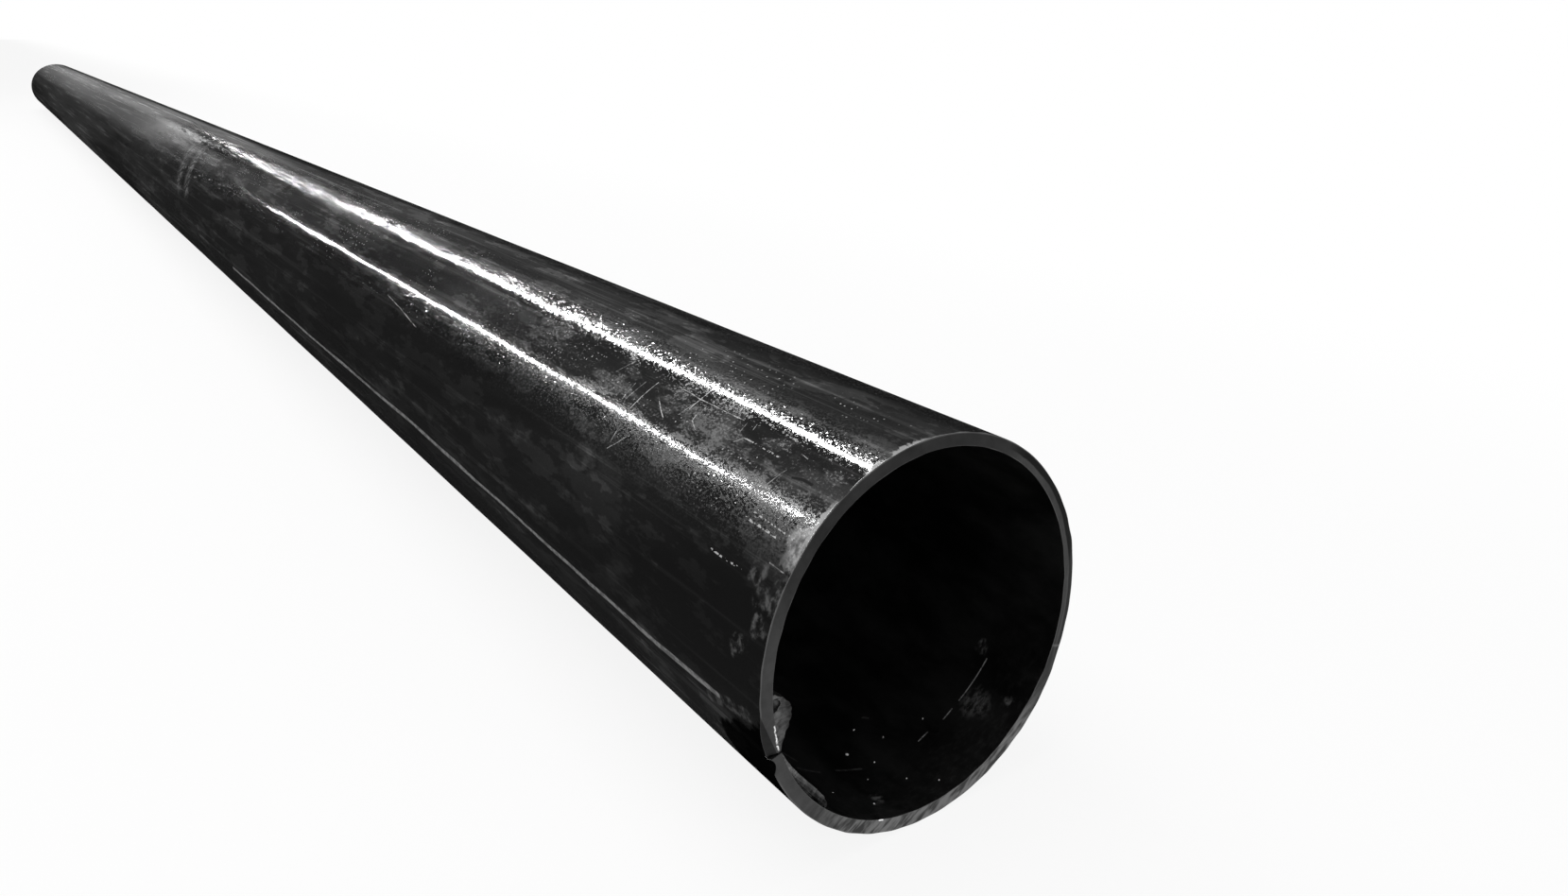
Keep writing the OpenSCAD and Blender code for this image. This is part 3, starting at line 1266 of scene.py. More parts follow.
@dataclass(frozen=True)
class WornPlaces:
    """Where the skin is rubbed away behind the rough edge, smeared further back and burnt at the weld."""

    ragged: Cloud = Cloud(8.0, detail=4.0, rough=0.7)
    patch_middle: Spot = (2.0, -58.0)
    patch_half: Pair = (13.0, 12.0)
    patch_ragged: float = 1.6
    patch_edge: Fade = Fade(0.75, 1.05, 1.0, 0.0)
    patch_shade: Cloud = Cloud(4.0, detail=4.0, rough=0.6, fade=Fade(0.35, 0.7, 0.25, 1.1))
    edge_back: Fade = Fade(1.5, 3.5, 1.0, 0.0)
    edge_ragged: float = 16.0
    edge_zones: tuple[Arc, Arc] = (Arc(-104.0, -84.0, 3.0), Arc(-71.0, -58.0, 3.0))
    smear_slope: float = 3.0
    smear_ragged: float = 50.0
    smear_strands: tuple[Pair, Pair] = ((1704.0, 40.0), (1621.0, 34.0))
    smear_zone: Arc = Arc(-80.0, -36.0, 6.0)
    smear_broken: Fade = Fade(-0.1, 0.15)
    smear_share: float = 0.4
    burnt_ragged: Cloud = Cloud(12.0, detail=4.0, rough=0.65)
    burnt_reach: float = 12.0
    burnt_angle: float = 11.0
    burnt_slope: float = 0.26
    burnt_side: Fade = Fade(-1.5, 1.0)
    burnt_back: Fade = Fade(46.0, 50.0, 1.0, 0.0)
    burnt_back_ragged: float = 1.5
    nicks: tuple[Run, ...] = (((39.0, -72.2), (32.0, -73.0), (24.0, -72.9)),)
    nick_w: float = 2.0

    def worn(self, skin: Skin) -> Socket:
        """The pale rubbed patch behind the rough edge, the worn edge, and the smear further back."""
        bench = skin.bench
        cloudy = bench.centred(skin.cloud(self.ragged))
        along, across = self.patch_half
        off = bench.vector("MULTIPLY", skin.off(skin.flat, self.patch_middle), (1 / along, 1 / across, 0.0))
        patch = bench.plus(bench.vector("LENGTH", off), bench.times(cloudy, self.patch_ragged))
        shade = skin.cloud(self.patch_shade)
        patch = bench.times(bench.between(patch, self.patch_edge), shade)
        edge = bench.between(bench.plus(skin.back, bench.times(cloudy, self.edge_ragged)), self.edge_back)
        zones = bench.highest(*(bench.window(skin.angle, zone) for zone in self.edge_zones))
        edge = bench.times(edge, zones)
        leaning, stirred = bench.times(skin.angle, self.smear_slope), bench.times(cloudy, self.smear_ragged)
        smeared = bench.plus(skin.back, leaning, stirred)
        strands = bench.highest(*(bench.peak(smeared, *strand) for strand in self.smear_strands))
        zone, broken = bench.window(skin.angle, self.smear_zone), bench.between(cloudy, self.smear_broken)
        return bench.highest(patch, edge, bench.times(strands, zone, broken, self.smear_share))

    def burnt(self, skin: Skin) -> Socket:
        """The dead black patch at the weld, behind the rough end, and nicks that are as black."""
        bench = skin.bench
        edge = bench.times(bench.centred(skin.cloud(self.burnt_ragged)), self.burnt_reach)
        past = bench.plus(skin.angle, edge, self.burnt_angle)
        lean = bench.less(past, bench.times(skin.back, self.burnt_slope))
        ragged = bench.plus(skin.back, bench.times(edge, self.burnt_back_ragged))
        near = bench.between(ragged, self.burnt_back)
        patch = bench.times(bench.between(lean, self.burnt_side), near)
        return bench.highest(patch, skin.strokes(self.nicks, self.nick_w))


@dataclass(frozen=True)
class ScaleRelief:
    """The skin's fine relief: leaning grains, the waves that the rolls left and the edges of flakes."""

    roughness: Cloud = Cloud(90.0, detail=2.0, stretch=5.0, fade=Fade(0.40, 0.60, 0.4, 1.0))
    further_back: Fade = Fade(1800.0, 2600.0, 1.0, 0.25)
    upper_side: Fade = Fade(-94.0, -83.0, 1.0, 0.0)
    upper_share: float = 1.1
    lower_side: Arc = Arc(-61.0, -48.0, 3.0)
    lower_share: float = 0.4
    least: float = 0.08
    fine_grain: Pair = (0.8, 1.4)
    fine_lean: float = 0.2
    middling_grain: Pair = (3.0, 4.0)
    middling_lean: float = 0.16
    middling_back: Fade = Fade(200.0, 600.0)
    coarse_grain: Pair = (5.0, 5.0)
    coarse_lean: Triple = (0.01, 0.045, 0.045)
    coarse_back: Arc = Arc(900.0, 1700.0, 300.0)
    roll_waves: Cloud = Cloud(26.0, detail=2.0, stretch=4.0)
    roll_h: float = 0.09
    flake_edge: Fade = Fade(0.50, 0.60)
    flake_h: float = 0.004

    def turned(self, skin: Skin, patches: Socket) -> Socket:
        """Turns the surface as the relief does.

        Args:
            skin: Where a point lies.
            patches: The noise of the flakes.

        Returns:
            The turned surface.
        """
        bench = skin.bench
        rough = skin.cloud(self.roughness)
        rough = bench.times(rough, bench.between(skin.back, self.further_back))
        upper = bench.between(skin.angle, self.upper_side)
        lower = bench.window(skin.angle, self.lower_side)
        sides = bench.times(upper, self.upper_share), bench.times(lower, self.lower_share)
        rough = bench.times(rough, bench.plus(*sides, self.least))
        fine = skin.grains(*self.fine_grain, bench.times(rough, self.fine_lean))
        middling = bench.times(bench.between(skin.back, self.middling_back), rough, self.middling_lean)
        middling = skin.grains(*self.middling_grain, middling)
        coarse = skin.grains(*self.coarse_grain, bench.window(skin.back, self.coarse_back))
        coarse = bench.vector("MULTIPLY", coarse, self.coarse_lean)
        leaning = bench.add("NewGeometry").outputs["Normal"]
        for lean in (fine, middling, coarse):
            leaning = bench.vector("ADD", leaning, lean)
        waves = skin.cloud(self.roll_waves)
        rolled = bench.bump(waves, self.roll_h, bench.vector("NORMALIZE", leaning))
        return bench.bump(bench.between(patches, self.flake_edge), self.flake_h, rolled)


@dataclass(frozen=True)
class ScaleState:
    """What the mill scale is like at a point: its noises, and from 0 to 1 what has become of it there."""

    clouds: Socket
    patches: Socket
    flakes: Socket
    islands: Socket
    grit: Socket
    # The band along the top: a little duller, and painted lighter there as painted light
    rubbed: Socket
    haze: Socket
    marks: Socket
    lines: Socket
    worn: Socket
    burnt: Socket


@dataclass(frozen=True)
class MillScale:
    """The black oxide skin of the rolled plate: flaked, rubbed and scratched, duller further back, and
    painted lighter on its upper side as painted light.
    """

    sizes: PipeSizes
    marks: ScaleMarks = ScaleMarks()
    wear: WornPlaces = WornPlaces()
    relief: ScaleRelief = ScaleRelief()
    clouds: Cloud = Cloud(85.0, detail=5.0, rough=0.6, stretch=5.0, twist=0.4)
    patches: Cloud = Cloud(20.0, detail=4.0, rough=0.66, stretch=2.5)
    flake_edge: Fade = Fade(0.52, 0.57)
    islands: Cloud = Cloud(46.0, detail=5.0, rough=0.68, stretch=2.0, fade=Fade(0.54, 0.60))
    grit: Cloud = Cloud(1.3, rough=0.65, stretch=1.4)
    # The band along the top: a little duller, and painted lighter there as painted light
    rubbed: Arc = Arc(-116.0, -90.0, 6.0)
    topmost: Arc = Arc(-126.0, -100.0, 5.0)
    haze_stirred: float = 600.0
    haze_on_top: float = 1300.0
    haze: Fade = Fade(2100.0, 3400.0)
    cloud_edge: Fade = Fade(0.38, 0.62)
    dark: float = 0.0055
    pale: float = 0.0155
    flake_tones: Pair = (0.7, 1.5)
    far_flakes: float = 0.35
    island_tones: Pair = (0.85, 1.6)
    far_islands: float = 0.2
    grit_tones: Pair = (0.8, 1.2)
    haze_tone: float = 2.2
    band_tone: float = 2.8
    # Painted light on the band along the top: it grows over the first 1.5 m from the rough end and fades far
    # back
    top_painted_light: Fade = Fade(100.0, 1500.0, 4.4, 5.4)
    top_painted_light_far: Fade = Fade(2500.0, 4600.0, 1.0, 0.65)
    # Painted light on the upper side between the two strips of gloss, with less of it further back
    painted_light_side: Arc = Arc(-88.0, -62.0, 6.0)
    painted_light_side_tone: Fade = Fade(1700.0, 2400.0, 1.7, 1.15)
    calm_side: Arc = Arc(-83.0, -65.0, 2.0)
    calm_back: Fade = Fade(240.0, 420.0, 1.0, 0.0)
    # Painted light on the smoother skin between the two strips of gloss
    calm_painted_light: float = 1.65
    calm_grit: float = 0.5
    line_tone: float = 0.22
    blotch_tone: float = 0.095
    worn_tone: float = 0.33
    mark_tone: float = 0.6
    burnt_tone: float = 0.1
    cloud_dull: float = 0.6
    flake_dull: float = 0.05
    rubbed_dull: float = 0.12
    dull_edge: Fade = Fade(0.52, 0.66)
    glossy: float = 0.038
    matte: float = 0.42
    near_gloss: float = 0.16
    near_fall: float = 4.0
    haze_gloss: float = 0.06
    haze_fall: Fade = Fade(2300.0, 4700.0, 3.4, 2.73)
    dull_gloss: float = 0.25
    side: Arc = Arc(-84.0, -62.0, 5.0)
    side_back: Fade = Fade(1700.0, 2200.0)
    side_gloss: float = 0.65
    burnt_matte: float = 0.8

    def make(self) -> bpy.types.Material:
        """Makes the material.

        Returns:
            The finished material.
        """
        bench, made = Bench.material("black_mill_scale")
        skin = Skin(bench, self.sizes)
        state = self.state(skin)
        level = self.level(skin, state)
        dull = self.dullness(skin, state)
        gloss = self.gloss(skin, state, dull)
        shader = bench.shader(level, {})
        bench.feed(shader.inputs["Roughness"], bench.mix(dull, self.glossy, self.matte))
        bench.feed(shader.inputs["Specular IOR Level"], gloss)
        bench.finish(shader, self.relief.turned(skin, state.patches))
        return made

    def state(self, skin: Skin) -> ScaleState:
        """Works out what the mill scale is like at a point of the skin.

        Args:
            skin: Where the point lies.

        Returns:
            The noises and covers that its tone, dullness and gloss share.
        """
        bench = skin.bench
        clouds, patches = skin.cloud(self.clouds), skin.cloud(self.patches)
        flakes = bench.between(patches, self.flake_edge)
        islands, grit = skin.cloud(self.islands), skin.cloud(self.grit)
        rubbed, topmost = bench.window(skin.angle, self.rubbed), bench.window(skin.angle, self.topmost)
        stirred, raised = bench.times(clouds, self.haze_stirred), bench.times(topmost, self.haze_on_top)
        haze = bench.between(bench.plus(skin.back, stirred, raised), self.haze)
        marks, lines = self.marks.scratched(skin), self.marks.lines(skin)
        worn, burnt = self.wear.worn(skin), self.wear.burnt(skin)
        return ScaleState(
            clouds=clouds, patches=patches, flakes=flakes, islands=islands, grit=grit, rubbed=rubbed,
            haze=haze, marks=marks, lines=lines, worn=worn, burnt=burnt,
        )

    def calm(self, skin: Skin) -> Socket:
        """The smoother skin between the two strips of gloss, behind the rough end, which is also painted
        lighter there as painted light.
        """
        side = skin.bench.window(skin.angle, self.calm_side)
        return skin.bench.times(side, skin.bench.between(skin.back, self.calm_back))

    def level(self, skin: Skin, state: ScaleState) -> Socket:
        """How pale the skin is, with painted light on its upper side.

        Args:
            skin: Where a point lies.
            state: What the mill scale is like there.

        Returns:
            Its grey level.
        """
        bench = skin.bench
        level = bench.mix(bench.between(state.clouds, self.cloud_edge), self.dark, self.pale)
        flakes = bench.mix(state.haze, state.flakes, self.far_flakes)
        level = bench.times(level, bench.mix(flakes, *self.flake_tones))
        islands = bench.mix(state.haze, state.islands, self.far_islands)
        islands, grit = bench.mix(islands, *self.island_tones), bench.mix(state.grit, *self.grit_tones)
        level = bench.times(level, islands, grit)
        haze = bench.where(state.haze, self.haze_tone)
        level = bench.times(level, haze, bench.where(self.marks.bands(skin), self.band_tone))
        # Painted light: the band along the top is painted lighter, with less of it far back
        near, far = bench.between(skin.back, self.top_painted_light), bench.between(skin.back, self.top_painted_light_far)
        level = bench.times(level, bench.where(state.rubbed, bench.times(near, far)))
        # Painted light on the upper side between the two strips of gloss
        painted_light_side_tone = bench.between(skin.back, self.painted_light_side_tone)
        level = bench.times(level, bench.where(bench.window(skin.angle, self.painted_light_side), painted_light_side_tone))
        # Painted light on the smoother skin between the two strips of gloss, behind the rough end
        level = bench.times(level, bench.where(self.calm(skin), self.calm_painted_light))
        covers = (state.lines, self.marks.blotches(skin), state.worn, state.marks)
        tones = (self.line_tone, self.blotch_tone, self.worn_tone, self.mark_tone)
        for cover, tone in zip(covers, tones, strict=True):
            level = bench.mix(cover, level, tone)
        return bench.times(level, bench.where(state.burnt, self.burnt_tone))

    def dullness(self, skin: Skin, state: ScaleState) -> Socket:
        """How matt the skin is: 0 where it shines and 1 where it is dull.

        Args:
            skin: Where a point lies.
            state: What the mill scale is like there.

        Returns:
            Its dullness.
        """
        bench = skin.bench
        grit = bench.times(bench.centred(state.grit), bench.where(self.calm(skin), self.calm_grit))
        dull = bench.plus(0.5, grit)
        clouds = bench.times(bench.centred(state.clouds), self.cloud_dull)
        dull = bench.plus(dull, clouds, bench.times(state.flakes, self.flake_dull))
        dull = bench.between(bench.plus(dull, bench.times(state.rubbed, self.rubbed_dull)), self.dull_edge)
        return bench.highest(dull, state.haze, state.worn, state.burnt)

    def gloss(self, skin: Skin, state: ScaleState, dull: Socket) -> Socket:
        """How much light the skin mirrors, less where it is seen at a slant.

        Args:
            skin: Where a point lies.
            state: What the mill scale is like there.
            dull: How matt it is there.

        Returns:
            Its specular level.
        """
        bench = skin.bench
        facing = bench.inverse(bench.add("LayerWeight", {"Blend": 0.5}).outputs["Facing"])
        fall = bench.mix(state.haze, self.near_fall, bench.between(skin.back, self.haze_fall))
        slanted = bench.math("POWER", facing, fall)
        gloss = bench.times(slanted, bench.mix(state.haze, self.near_gloss, self.haze_gloss))
        dull_near = bench.times(dull, bench.inverse(state.haze))
        gloss = bench.times(gloss, bench.where(dull_near, self.dull_gloss))
        side = bench.times(bench.window(skin.angle, self.side), bench.between(skin.back, self.side_back))
        gloss = bench.times(gloss, bench.where(side, self.side_gloss))
        gone = bench.highest(state.marks, bench.times(state.burnt, self.burnt_matte))
        return bench.times(gloss, bench.inverse(gone))


@dataclass(frozen=True)
class CutSteel:
    """The sawn faces: dull grey steel with slanted saw marks, bright where the edge is fresh."""

    sizes: PipeSizes
    rough: RoughEnd = RoughEnd()
    dark: float = 0.042
    pale: float = 0.17
    roughness: float = 0.5
    clouds: Cloud = Cloud(14.0, detail=4.0, rough=0.65)
    cloud_tones: Pair = (0.4, 1.6)
    saw_slant: float = 76.0
    saw_stretch: float = 0.26
    saw_lines: Cloud = Cloud(3.2, detail=2.5, rough=0.6, fade=Fade(0.36, 0.62))
    saw_depth: float = 0.05
    fresh: Arc = Arc(28.0, 125.0, 16.0)
    left: Arc = Arc(-40.0, 40.0, 24.0)
    left_tones: Pair = (0.62, 1.35)
    right: Fade = Fade(136.0, 146.0)
    right_ragged: float = 2.5
    right_outer: Fade = Fade(-3.2, -2.4)
    right_tones: Pair = (0.25, 1.9)
    knocked: Fade = Fade(0.25, 0.45)
    knocked_tone: float = 0.38
    rim_ragged: float = 0.8
    outer_rim: Fade = Fade(-0.5, -0.1)
    inner_rim: Fade = Fade(0.5, 0.9, 1.0, 0.0)
    rim_share: float = 0.38
    rim_gap: Arc = Arc(-13.0, 8.0, 2.0)
    burr_wobble: Cloud = Cloud(1.6)
    burr_wobble_reach: float = 1.6
    burr_half: float = 0.75
    burr_zone: Arc = Arc(-8.8, -0.9, 0.3)
    burr_chips: Cloud = Cloud(1.2, fade=Fade(0.40, 0.5))
    nick: Arc = Arc(52.3, 54.1, 0.3)
    nick_reach: Fade = Fade(0.7, 1.2, 1.0, 0.0)
    pale_line: Pair = (140.2, 0.7)
    pale_line_share: float = 0.5

    def make(self) -> bpy.types.Material:
        """Makes the material.

        Returns:
            The finished material.
        """
        bench, made = Bench.material("sawn_steel")
        skin = Skin(bench, self.sizes)
        clouds = skin.cloud(self.clouds)
        turn = {"Vector": skin.solid, "Angle": math.radians(self.saw_slant)}
        slant = bench.add("VectorRotate", turn, rotation_type="X_AXIS")
        slanted = bench.vector("MULTIPLY", slant.outputs[0], (1.0, 1.0, self.saw_stretch))
        fresh = bench.window(skin.angle, self.fresh)
        lines = bench.times(bench.noise(slanted, self.saw_lines), fresh)
        left = bench.mix(bench.window(skin.angle, self.left), *self.left_tones)
        sawn = bench.times(bench.mix(clouds, *(self.dark * tone for tone in self.cloud_tones)), left)
        level = bench.mix(fresh, sawn, bench.mix(lines, self.dark, self.pale))
        level = self.right_side(skin, clouds, level)
        knocked = bench.between(bench.less(skin.back, self.sizes.saw_back), self.knocked)
        level = bench.times(level, bench.where(knocked, self.knocked_tone))
        level = self.bright_edges(skin, clouds, level)
        shader = bench.shader(level, {"Metallic": 1.0, "Roughness": self.roughness})
        bench.finish(shader, bench.bump(lines, self.saw_depth))
        return made

    def right_side(self, skin: Skin, clouds: Socket, level: Socket) -> Socket:
        """Darkens the rolled-over edge on the right, and brightens what lies inside it.

        Args:
            skin: Where a point lies.
            clouds: The noise that makes the border ragged.
            level: The grey level so far.

        Returns:
            The new grey level.
        """
        bench = skin.bench
        right = bench.between(bench.math("ABSOLUTE", skin.angle), self.right)
        ragged = bench.plus(skin.radius, bench.times(clouds, self.right_ragged))
        outer = bench.between(ragged, self.right_outer.moved(self.sizes.outside_r))
        outer_tone, inner_tone = self.right_tones
        level = bench.times(level, bench.where(bench.times(right, outer), outer_tone))
        return bench.times(level, bench.where(bench.times(right, bench.inverse(outer)), inner_tone))

    def bright_edges(self, skin: Skin, clouds: Socket, level: Socket) -> Socket:
        """Adds the rubbed rims, the burr beside the split, a nick in the inner edge and a pale line.

        Args:
            skin: Where a point lies.
            clouds: The noise that makes the rims ragged.
            level: The grey level so far.

        Returns:
            The new grey level.
        """
        bench, sizes, rough = skin.bench, self.sizes, self.rough
        rim = bench.plus(skin.radius, bench.times(clouds, self.rim_ragged))
        outer = bench.between(rim, self.outer_rim.moved(sizes.outside_r))
        edges = bench.highest(outer, bench.between(rim, self.inner_rim.moved(sizes.mouth_r)))
        near_weld = bench.window(skin.angle, self.rim_gap)
        level = bench.mix(bench.times(edges, bench.mix(near_weld, self.rim_share, 0.0)), level, self.pale)
        climbing = bench.plus(bench.times(skin.angle, rough.burr_slope), rough.burr_r[1])
        off_burr = bench.less(skin.radius, climbing)
        wobble = bench.times(bench.centred(skin.cloud(self.burr_wobble)), self.burr_wobble_reach)
        burr = bench.peak(bench.plus(off_burr, wobble), 0.0, self.burr_half)
        burr = bench.times(bench.window(skin.angle, self.burr_zone), burr)
        chips = skin.cloud(self.burr_chips)
        level = bench.mix(bench.times(burr, chips), level, 1.0)
        inner = bench.between(rim, self.nick_reach.moved(sizes.mouth_r))
        level = bench.mix(bench.times(bench.window(skin.angle, self.nick), inner), level, 1.0)
        line = bench.times(bench.peak(skin.angle, *self.pale_line), self.pale_line_share)
        return bench.mix(line, level, self.pale)


@dataclass(frozen=True)
class BoreScale:
    """The dull black skin inside the pipe, with bright specks, scratches and smudges near its mouth."""

    sizes: PipeSizes
    dark: float = 0.0022
    pale: float = 0.0105
    roughness: float = 0.42
    gloss: float = 0.05
    clouds: Cloud = Cloud(30.0, detail=5.0, rough=0.62, stretch=2.0)
    cloud_edge: Fade = Fade(0.35, 0.7)
    cloud_h: float = 0.3
    smudge_tone: float = 0.085
    scratch_tone: float = 0.25
    smudges: tuple[tuple[Spot, float], ...] = (
        ((30.0, 111.0), 13.0), ((47.0, 128.0), 6.0), ((12.0, 117.0), 5.0), ((18.0, 60.0), 6.0),
    )
    smudge_full: float = 0.3
    smudge_clouds: Cloud = Cloud(6.0, detail=4.0, rough=0.7, stretch=0.5)
    smudge_edge: Fade = Fade(0.40, 0.62)
    film_side: Arc = Arc(40.0, 130.0, 20.0)
    film_back: Fade = Fade(10.0, 60.0, 1.0, 0.0)
    film_edge: Fade = Fade(0.45, 0.8)
    film_share: float = 0.15
    spatter: tuple[tuple[Spot, float], ...] = (
        ((60.4, 67.0), 1.1), ((77.0, 77.2), 0.45), ((60.0, 82.0), 0.4), ((46.0, 72.0), 0.45),
        ((11.0, 82.1), 0.4), ((27.0, 46.1), 0.4), ((14.3, 57.0), 0.55), ((35.0, 64.0), 0.3),
        ((24.0, 75.0), 0.35), ((52.0, 96.0), 0.3),
    )
    speck_run: Spot = (0.4, 0.3)
    speck_w: float = 1.7
    dashes: tuple[Run, ...] = (
        ((40.0, 125.0), (41.2, 108.5)),
        ((41.4, 105.0), (41.2, 100.4)),
        ((42.6, 93.4), (42.0, 89.0)),
    )
    dash_w: float = 0.8
    faint_scratches: tuple[Run, ...] = (
        ((68.6, 44.0), (60.6, 45.9)),
        ((51.7, 42.0), (49.0, 50.2)),
        ((49.3, 57.4), (45.2, 66.2)),
        ((82.3, 83.2), (79.5, 84.0)),
    )
    faint_w: float = 1.5
    faint_share: float = 0.16
    loose: Scratches = Scratches(cell=26.0, length=9.0, width=0.3, lean=80.0, kept=0.3)
    loose_share: float = 0.2
    scratch_gap: float = 0.4

    def make(self) -> bpy.types.Material:
        """Makes the material.

        Returns:
            The finished material.
        """
        bench, made = Bench.material("black_bore_scale")
        skin = Skin(bench, self.sizes)
        clouds = skin.cloud(self.clouds)
        level = bench.mix(bench.between(clouds, self.cloud_edge), self.dark, self.pale)
        level = bench.mix(self.smudged(skin), level, self.smudge_tone)
        level = bench.mix(self.specks(skin), level, 1.0)
        level = bench.mix(self.scratched(skin), level, self.scratch_tone)
        shader = bench.shader(level, {"Roughness": self.roughness, "Specular IOR Level": self.gloss})
        bench.finish(shader, bench.bump(clouds, self.cloud_h))
        return made

    def specks(self, skin: Skin) -> Value:
        """Bright specks of spatter on the bottom of the bore."""
        dots: Value = 0.0
        for (back, angle), size in self.spatter:
            end = (back + self.speck_run[0], angle + self.speck_run[1])
            dots = skin.bench.highest(dots, skin.stroke((back, angle), end, size * self.speck_w))
        return dots

    def scratched(self, skin: Skin) -> Socket:
        """A dashed scratch round the bore, and fainter ones."""
        bench = skin.bench
        dashes = skin.strokes(self.dashes, self.dash_w)
        faint = skin.strokes(self.faint_scratches, self.faint_w)
        found = bench.highest(dashes, bench.times(faint, self.faint_share))
        loose = bench.times(skin.loose_scratches(self.loose), self.loose_share)
        return bench.highest(bench.times(found, bench.mix(skin.gaps, self.scratch_gap, 1.0)), loose)

    def smudged(self, skin: Skin) -> Socket:
        """Rubbed places low in the bore, on the right, and a thin film round them."""
        bench = skin.bench
        cloudy = skin.cloud(self.smudge_clouds)
        found: Value = 0.0
        for spot, size in self.smudges:
            edge = Fade(size * self.smudge_full, size, 1.0, 0.0)
            found = bench.highest(found, bench.between(skin.round_spot(spot), edge))
        side, near = bench.window(skin.angle, self.film_side), bench.between(skin.back, self.film_back)
        spread = bench.times(side, near)
        film = bench.times(bench.between(cloudy, self.film_edge), spread, self.film_share)
        return bench.highest(bench.times(bench.between(cloudy, self.smudge_edge), found), film)


@dataclass(frozen=True)
class FlashSteel:
    """The torn metal of the lips: mid grey, smeared and pitted, with painted shade on the lower lip where it
    meets the wall.
    """

    sizes: PipeSizes
    dark: float = 0.030
    pale: float = 0.11
    roughness: float = 0.5
    clouds: Cloud = Cloud(5.0, detail=4.0, rough=0.6, twist=0.6)
    cloud_edge: Fade = Fade(0.3, 0.72)
    cloud_h: float = 0.06
    rooted: Fade = Fade(92.0, 100.5, 0.55, 1.25)
    lower_tone: Fade = Fade(-1.0, 3.0, 1.0, 1.25)
    # Painted shade on the lower lip where it meets the wall: how far in it reaches, its two steps, where it
    # starts and how it deepens along the lip
    shade_reach: Fade = Fade(8.0, 19.0, 0.0, 3.1)
    wedge_shade: Fade = Fade(-0.35, 0.35, 0.34, 1.0)
    shade_margin: Fade = Fade(0.9, 1.3, 0.75, 1.0)
    shade_start: Fade = Fade(7.0, 10.0)
    shade_along_lip: Fade = Fade(14.0, 28.0, 1.0, 0.7)

    def make(self) -> bpy.types.Material:
        """Makes the material.

        Returns:
            The finished material.
        """
        bench, made = Bench.material("torn_flash_steel")
        skin = Skin(bench, self.sizes)
        clouds = skin.cloud(self.clouds)
        level = bench.mix(bench.between(clouds, self.cloud_edge), self.dark, self.pale)
        level = bench.times(level, bench.between(skin.radius, self.rooted))
        # Painted shade on the lower lip, where it meets the wall
        level = bench.times(level, bench.between(skin.angle, self.lower_tone), self.shade(skin))
        shader = bench.shader(level, {"Metallic": 1.0, "Roughness": self.roughness})
        bench.finish(shader, bench.bump(clouds, self.cloud_h))
        return made

    def shade(self, skin: Skin) -> Socket:
        """How much of its tone the lower lip keeps: painted shade, dark where it folds back over the wall
        and shade falls.
        """
        bench = skin.bench
        inward = bench.less(self.sizes.mouth_r, skin.radius)
        shade_reach_here = bench.between(skin.angle, self.shade_reach)
        past = bench.less(inward, shade_reach_here)
        wedge_shade, shade_margin = bench.between(past, self.wedge_shade), bench.between(past, self.shade_margin)
        lower = bench.between(skin.angle, self.shade_start)
        return bench.where(lower, bench.times(wedge_shade, shade_margin, bench.between(skin.angle, self.shade_along_lip)))


def facing(place: Vector, side: Vector, back: Vector) -> Matrix:
    """Where a lamp or camera stands and how it is turned.

    Args:
        place: Where it stands.
        side: Its own X, across where it looks, of length 1.
        back: Its own Z, away from where it looks, of length 1.

    Returns:
        Its matrix in the world.
    """
    turned = Matrix((side, back.cross(side), back)).transposed().to_4x4()
    return Matrix.Translation(place) @ turned


@dataclass(frozen=True)
class Panel:
    """A lit rectangle which only shows in what it lights, or as a reflection, in metres."""

    name: str
    start: Triple
    end: Triple
    width: float
    radiance: float
    faces: Triple = (0.0, 0.0, -1.0)
    in_diffuse: bool = False
    in_glossy: bool = True
    # The power of a square metre whose surface shows a radiance of 1
    power: float = 4.0

    def build(self) -> bpy.types.Object:
        """Makes the lamp.

        Returns:
            The lamp, lit on the side that it faces.
        """
        run = Vector(self.end) - Vector(self.start)
        data = bpy.data.lights.new(self.name, "AREA")
        data.shape = "RECTANGLE"
        data.size = run.length
        data.size_y = self.width
        data.energy = self.power * data.size * data.size_y * self.radiance
        made = bpy.data.objects.new(self.name, data)
        middle = (Vector(self.start) + Vector(self.end)) / 2
        made.matrix_world = facing(middle, run.normalized(), -Vector(self.faces).normalized())
        made.visible_camera = False
        made.visible_diffuse = self.in_diffuse
        made.visible_glossy = self.in_glossy
        bpy.context.scene.collection.objects.link(made)
        return made


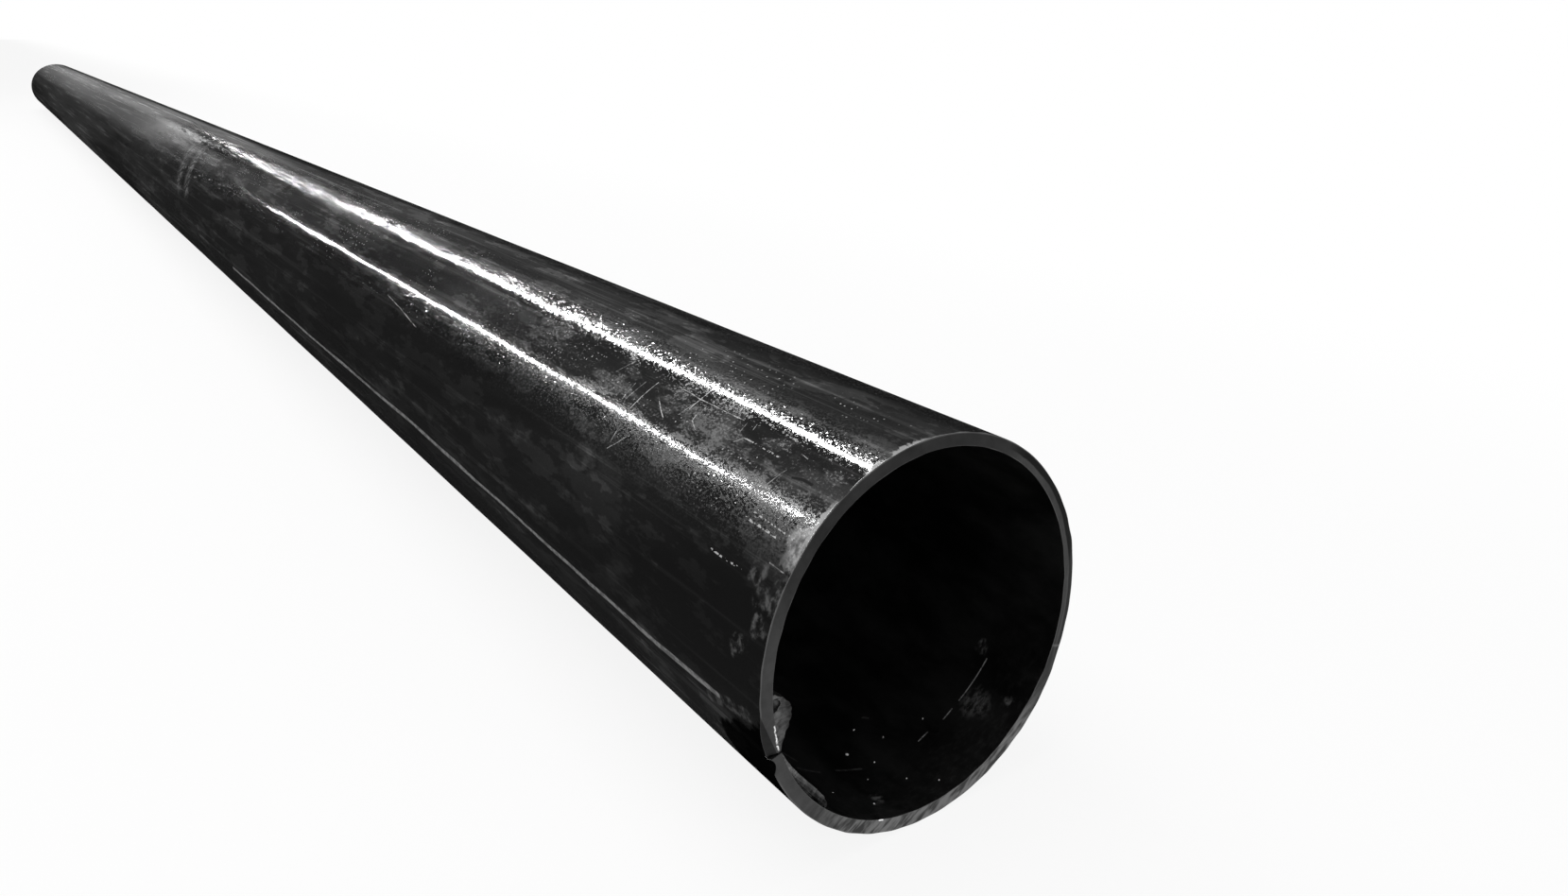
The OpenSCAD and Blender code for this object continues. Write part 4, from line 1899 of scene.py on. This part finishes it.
@dataclass(frozen=True)
class Studio:
    """A plain white floor and background, soft light from above, and two strip lamps for the gloss."""

    soft_light: float = 0.42
    floor_size: float = 60.0
    floor_colour: float = 0.9
    glow: Fade = Fade(0.35, 1.3, 0.88, 1.0)
    lamps: tuple[Panel, ...] = (
        Panel("strip_lamp_a", (2.35, 0.19, 1.2), (-4.6, 0.57, 1.2), width=0.06, radiance=1100.0),
        Panel("strip_lamp_b", (2.30, -0.76, 1.2), (-3.0, -0.80, 1.2), width=0.05, radiance=1100.0),
        Panel(
            "far_panel", (-14.0, -0.8, 1.7), (-14.0, 1.3, 1.7), width=2.0, radiance=40.0,
            faces=(1.0, 0.0, 0.0),
        ),
        Panel(
            "front_fill", (5.6, -1.0, 1.0), (5.6, 1.0, 1.0), width=1.6, radiance=2.2,
            faces=(-1.0, 0.0, -0.15), in_diffuse=True, in_glossy=False,
        ),
        Panel(
            "soft_box", (3.6, -0.6, 2.6), (-3.6, -0.6, 2.6), width=2.2, radiance=1.5,
            in_diffuse=True, in_glossy=False,
        ),
    )

    def build(self) -> None:
        """Makes the background, the floor and the lamps."""
        self.background()
        floor = self.floor()
        log.info("%s: %.0f m wide", floor.name, self.floor_size)
        for lamp in self.lamps:
            made = lamp.build()
            log.info("%s: %.2f m long", made.name, made.data.size)

    @staticmethod
    def shown(bench: Bench) -> Socket:
        """1 for what is seen straight, in a reflection or through glass, and 0 for what lights a surface."""
        path = bench.add("LightPath").outputs
        return bench.highest(path["Is Camera Ray"], path["Is Glossy Ray"], path["Is Transmission Ray"])

    def background(self) -> None:
        """Makes the world: white where it is seen, and a plain soft light."""
        world = bpy.data.worlds.new("white_surroundings")
        world.use_nodes = True
        bench = Bench(world.node_tree)
        soft = bench.add("Background", {"Color": grey(1.0), "Strength": self.soft_light})
        white = bench.add("Background", {"Color": grey(1.0)})
        mixed = bench.add("MixShader", {0: self.shown(bench), 1: soft.outputs[0], 2: white.outputs[0]})
        bench.add("OutputWorld", {"Surface": mixed.outputs[0]})
        bpy.context.scene.world = world

    def floor(self) -> bpy.types.Object:
        """Makes the floor, which keeps the pipe's shadow and turns to plain white further off.

        Returns:
            The floor.
        """
        half = self.floor_size / 2
        corners = np.array([(-half, -half, 0.0), (half, -half, 0.0), (half, half, 0.0), (-half, half, 0.0)])
        bench, finish = Bench.material("white_floor")
        side = bench.math("ABSOLUTE", bench.parts(bench.add("TexCoord").outputs["Object"])["Y"])
        glow = bench.between(side, self.glow)
        plain = bench.add("BsdfDiffuse", {"Color": grey(self.floor_colour)})
        white = bench.add("Emission")
        seen = bench.times(self.shown(bench), glow)
        bench.surface(bench.add("MixShader", {0: seen, 1: plain.outputs[0], 2: white.outputs[0]}).outputs[0])
        made = mesh_object("floor", corners, [(0, 1, 2, 3)], [0], [finish])
        return made


@dataclass(frozen=True)
class PhotoCamera:
    """The camera that took the photograph, in metres, with its lens in the photograph's pixels."""

    place: Triple = (3.6192, -0.3869, 0.4240)
    forward: Triple = (-0.7963, 0.5755, -0.1864)
    up: Triple = (-0.1553, 0.1034, 0.9824)
    focal_px: float = 1231.466
    middle_px: Pair = (854.0, 262.1)
    sensor_mm: float = 36.0
    nearest: float = 0.01

    def build(self) -> bpy.types.Object:
        """Makes the camera and gives it to the scene.

        Returns:
            The camera.
        """
        data = bpy.data.cameras.new("camera")
        data.sensor_fit = "HORIZONTAL"
        data.sensor_width = self.sensor_mm
        data.lens = self.sensor_mm * self.focal_px / PHOTO_WIDTH
        data.shift_x = (PHOTO_WIDTH / 2 - self.middle_px[0]) / PHOTO_WIDTH
        data.shift_y = (self.middle_px[1] - PHOTO_HEIGHT / 2) / PHOTO_WIDTH
        data.clip_start = self.nearest
        made = bpy.data.objects.new("camera", data)
        bpy.context.scene.collection.objects.link(made)
        back = -Vector(self.forward).normalized()
        side = Vector(self.up).cross(back).normalized()
        made.matrix_world = facing(Vector(self.place), side, back)
        bpy.context.scene.camera = made
        return made


def main() -> None:
    """Builds the camera, the studio, the finishes and the pipe on its frame, in this order."""
    logging.basicConfig(level=logging.INFO, format="%(name)s: %(message)s")
    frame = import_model()
    bpy.context.scene.view_settings.view_transform = "Standard"
    sizes = PipeSizes.from_frame(frame["record"])
    camera = PhotoCamera().build()
    log.info("%s: %.1f mm lens", camera.name, camera.data.lens)
    Studio().build()
    finishes = [finish(sizes).make() for finish in (MillScale, CutSteel, BoreScale, FlashSteel)]
    pipe = WeldedPipe(sizes, finishes).build()
    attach(pipe, BODY)
    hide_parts(NODE)
    log.info("%s: %d faces", pipe.name, len(pipe.data.polygons))


if __name__ == "__main__":
    main()
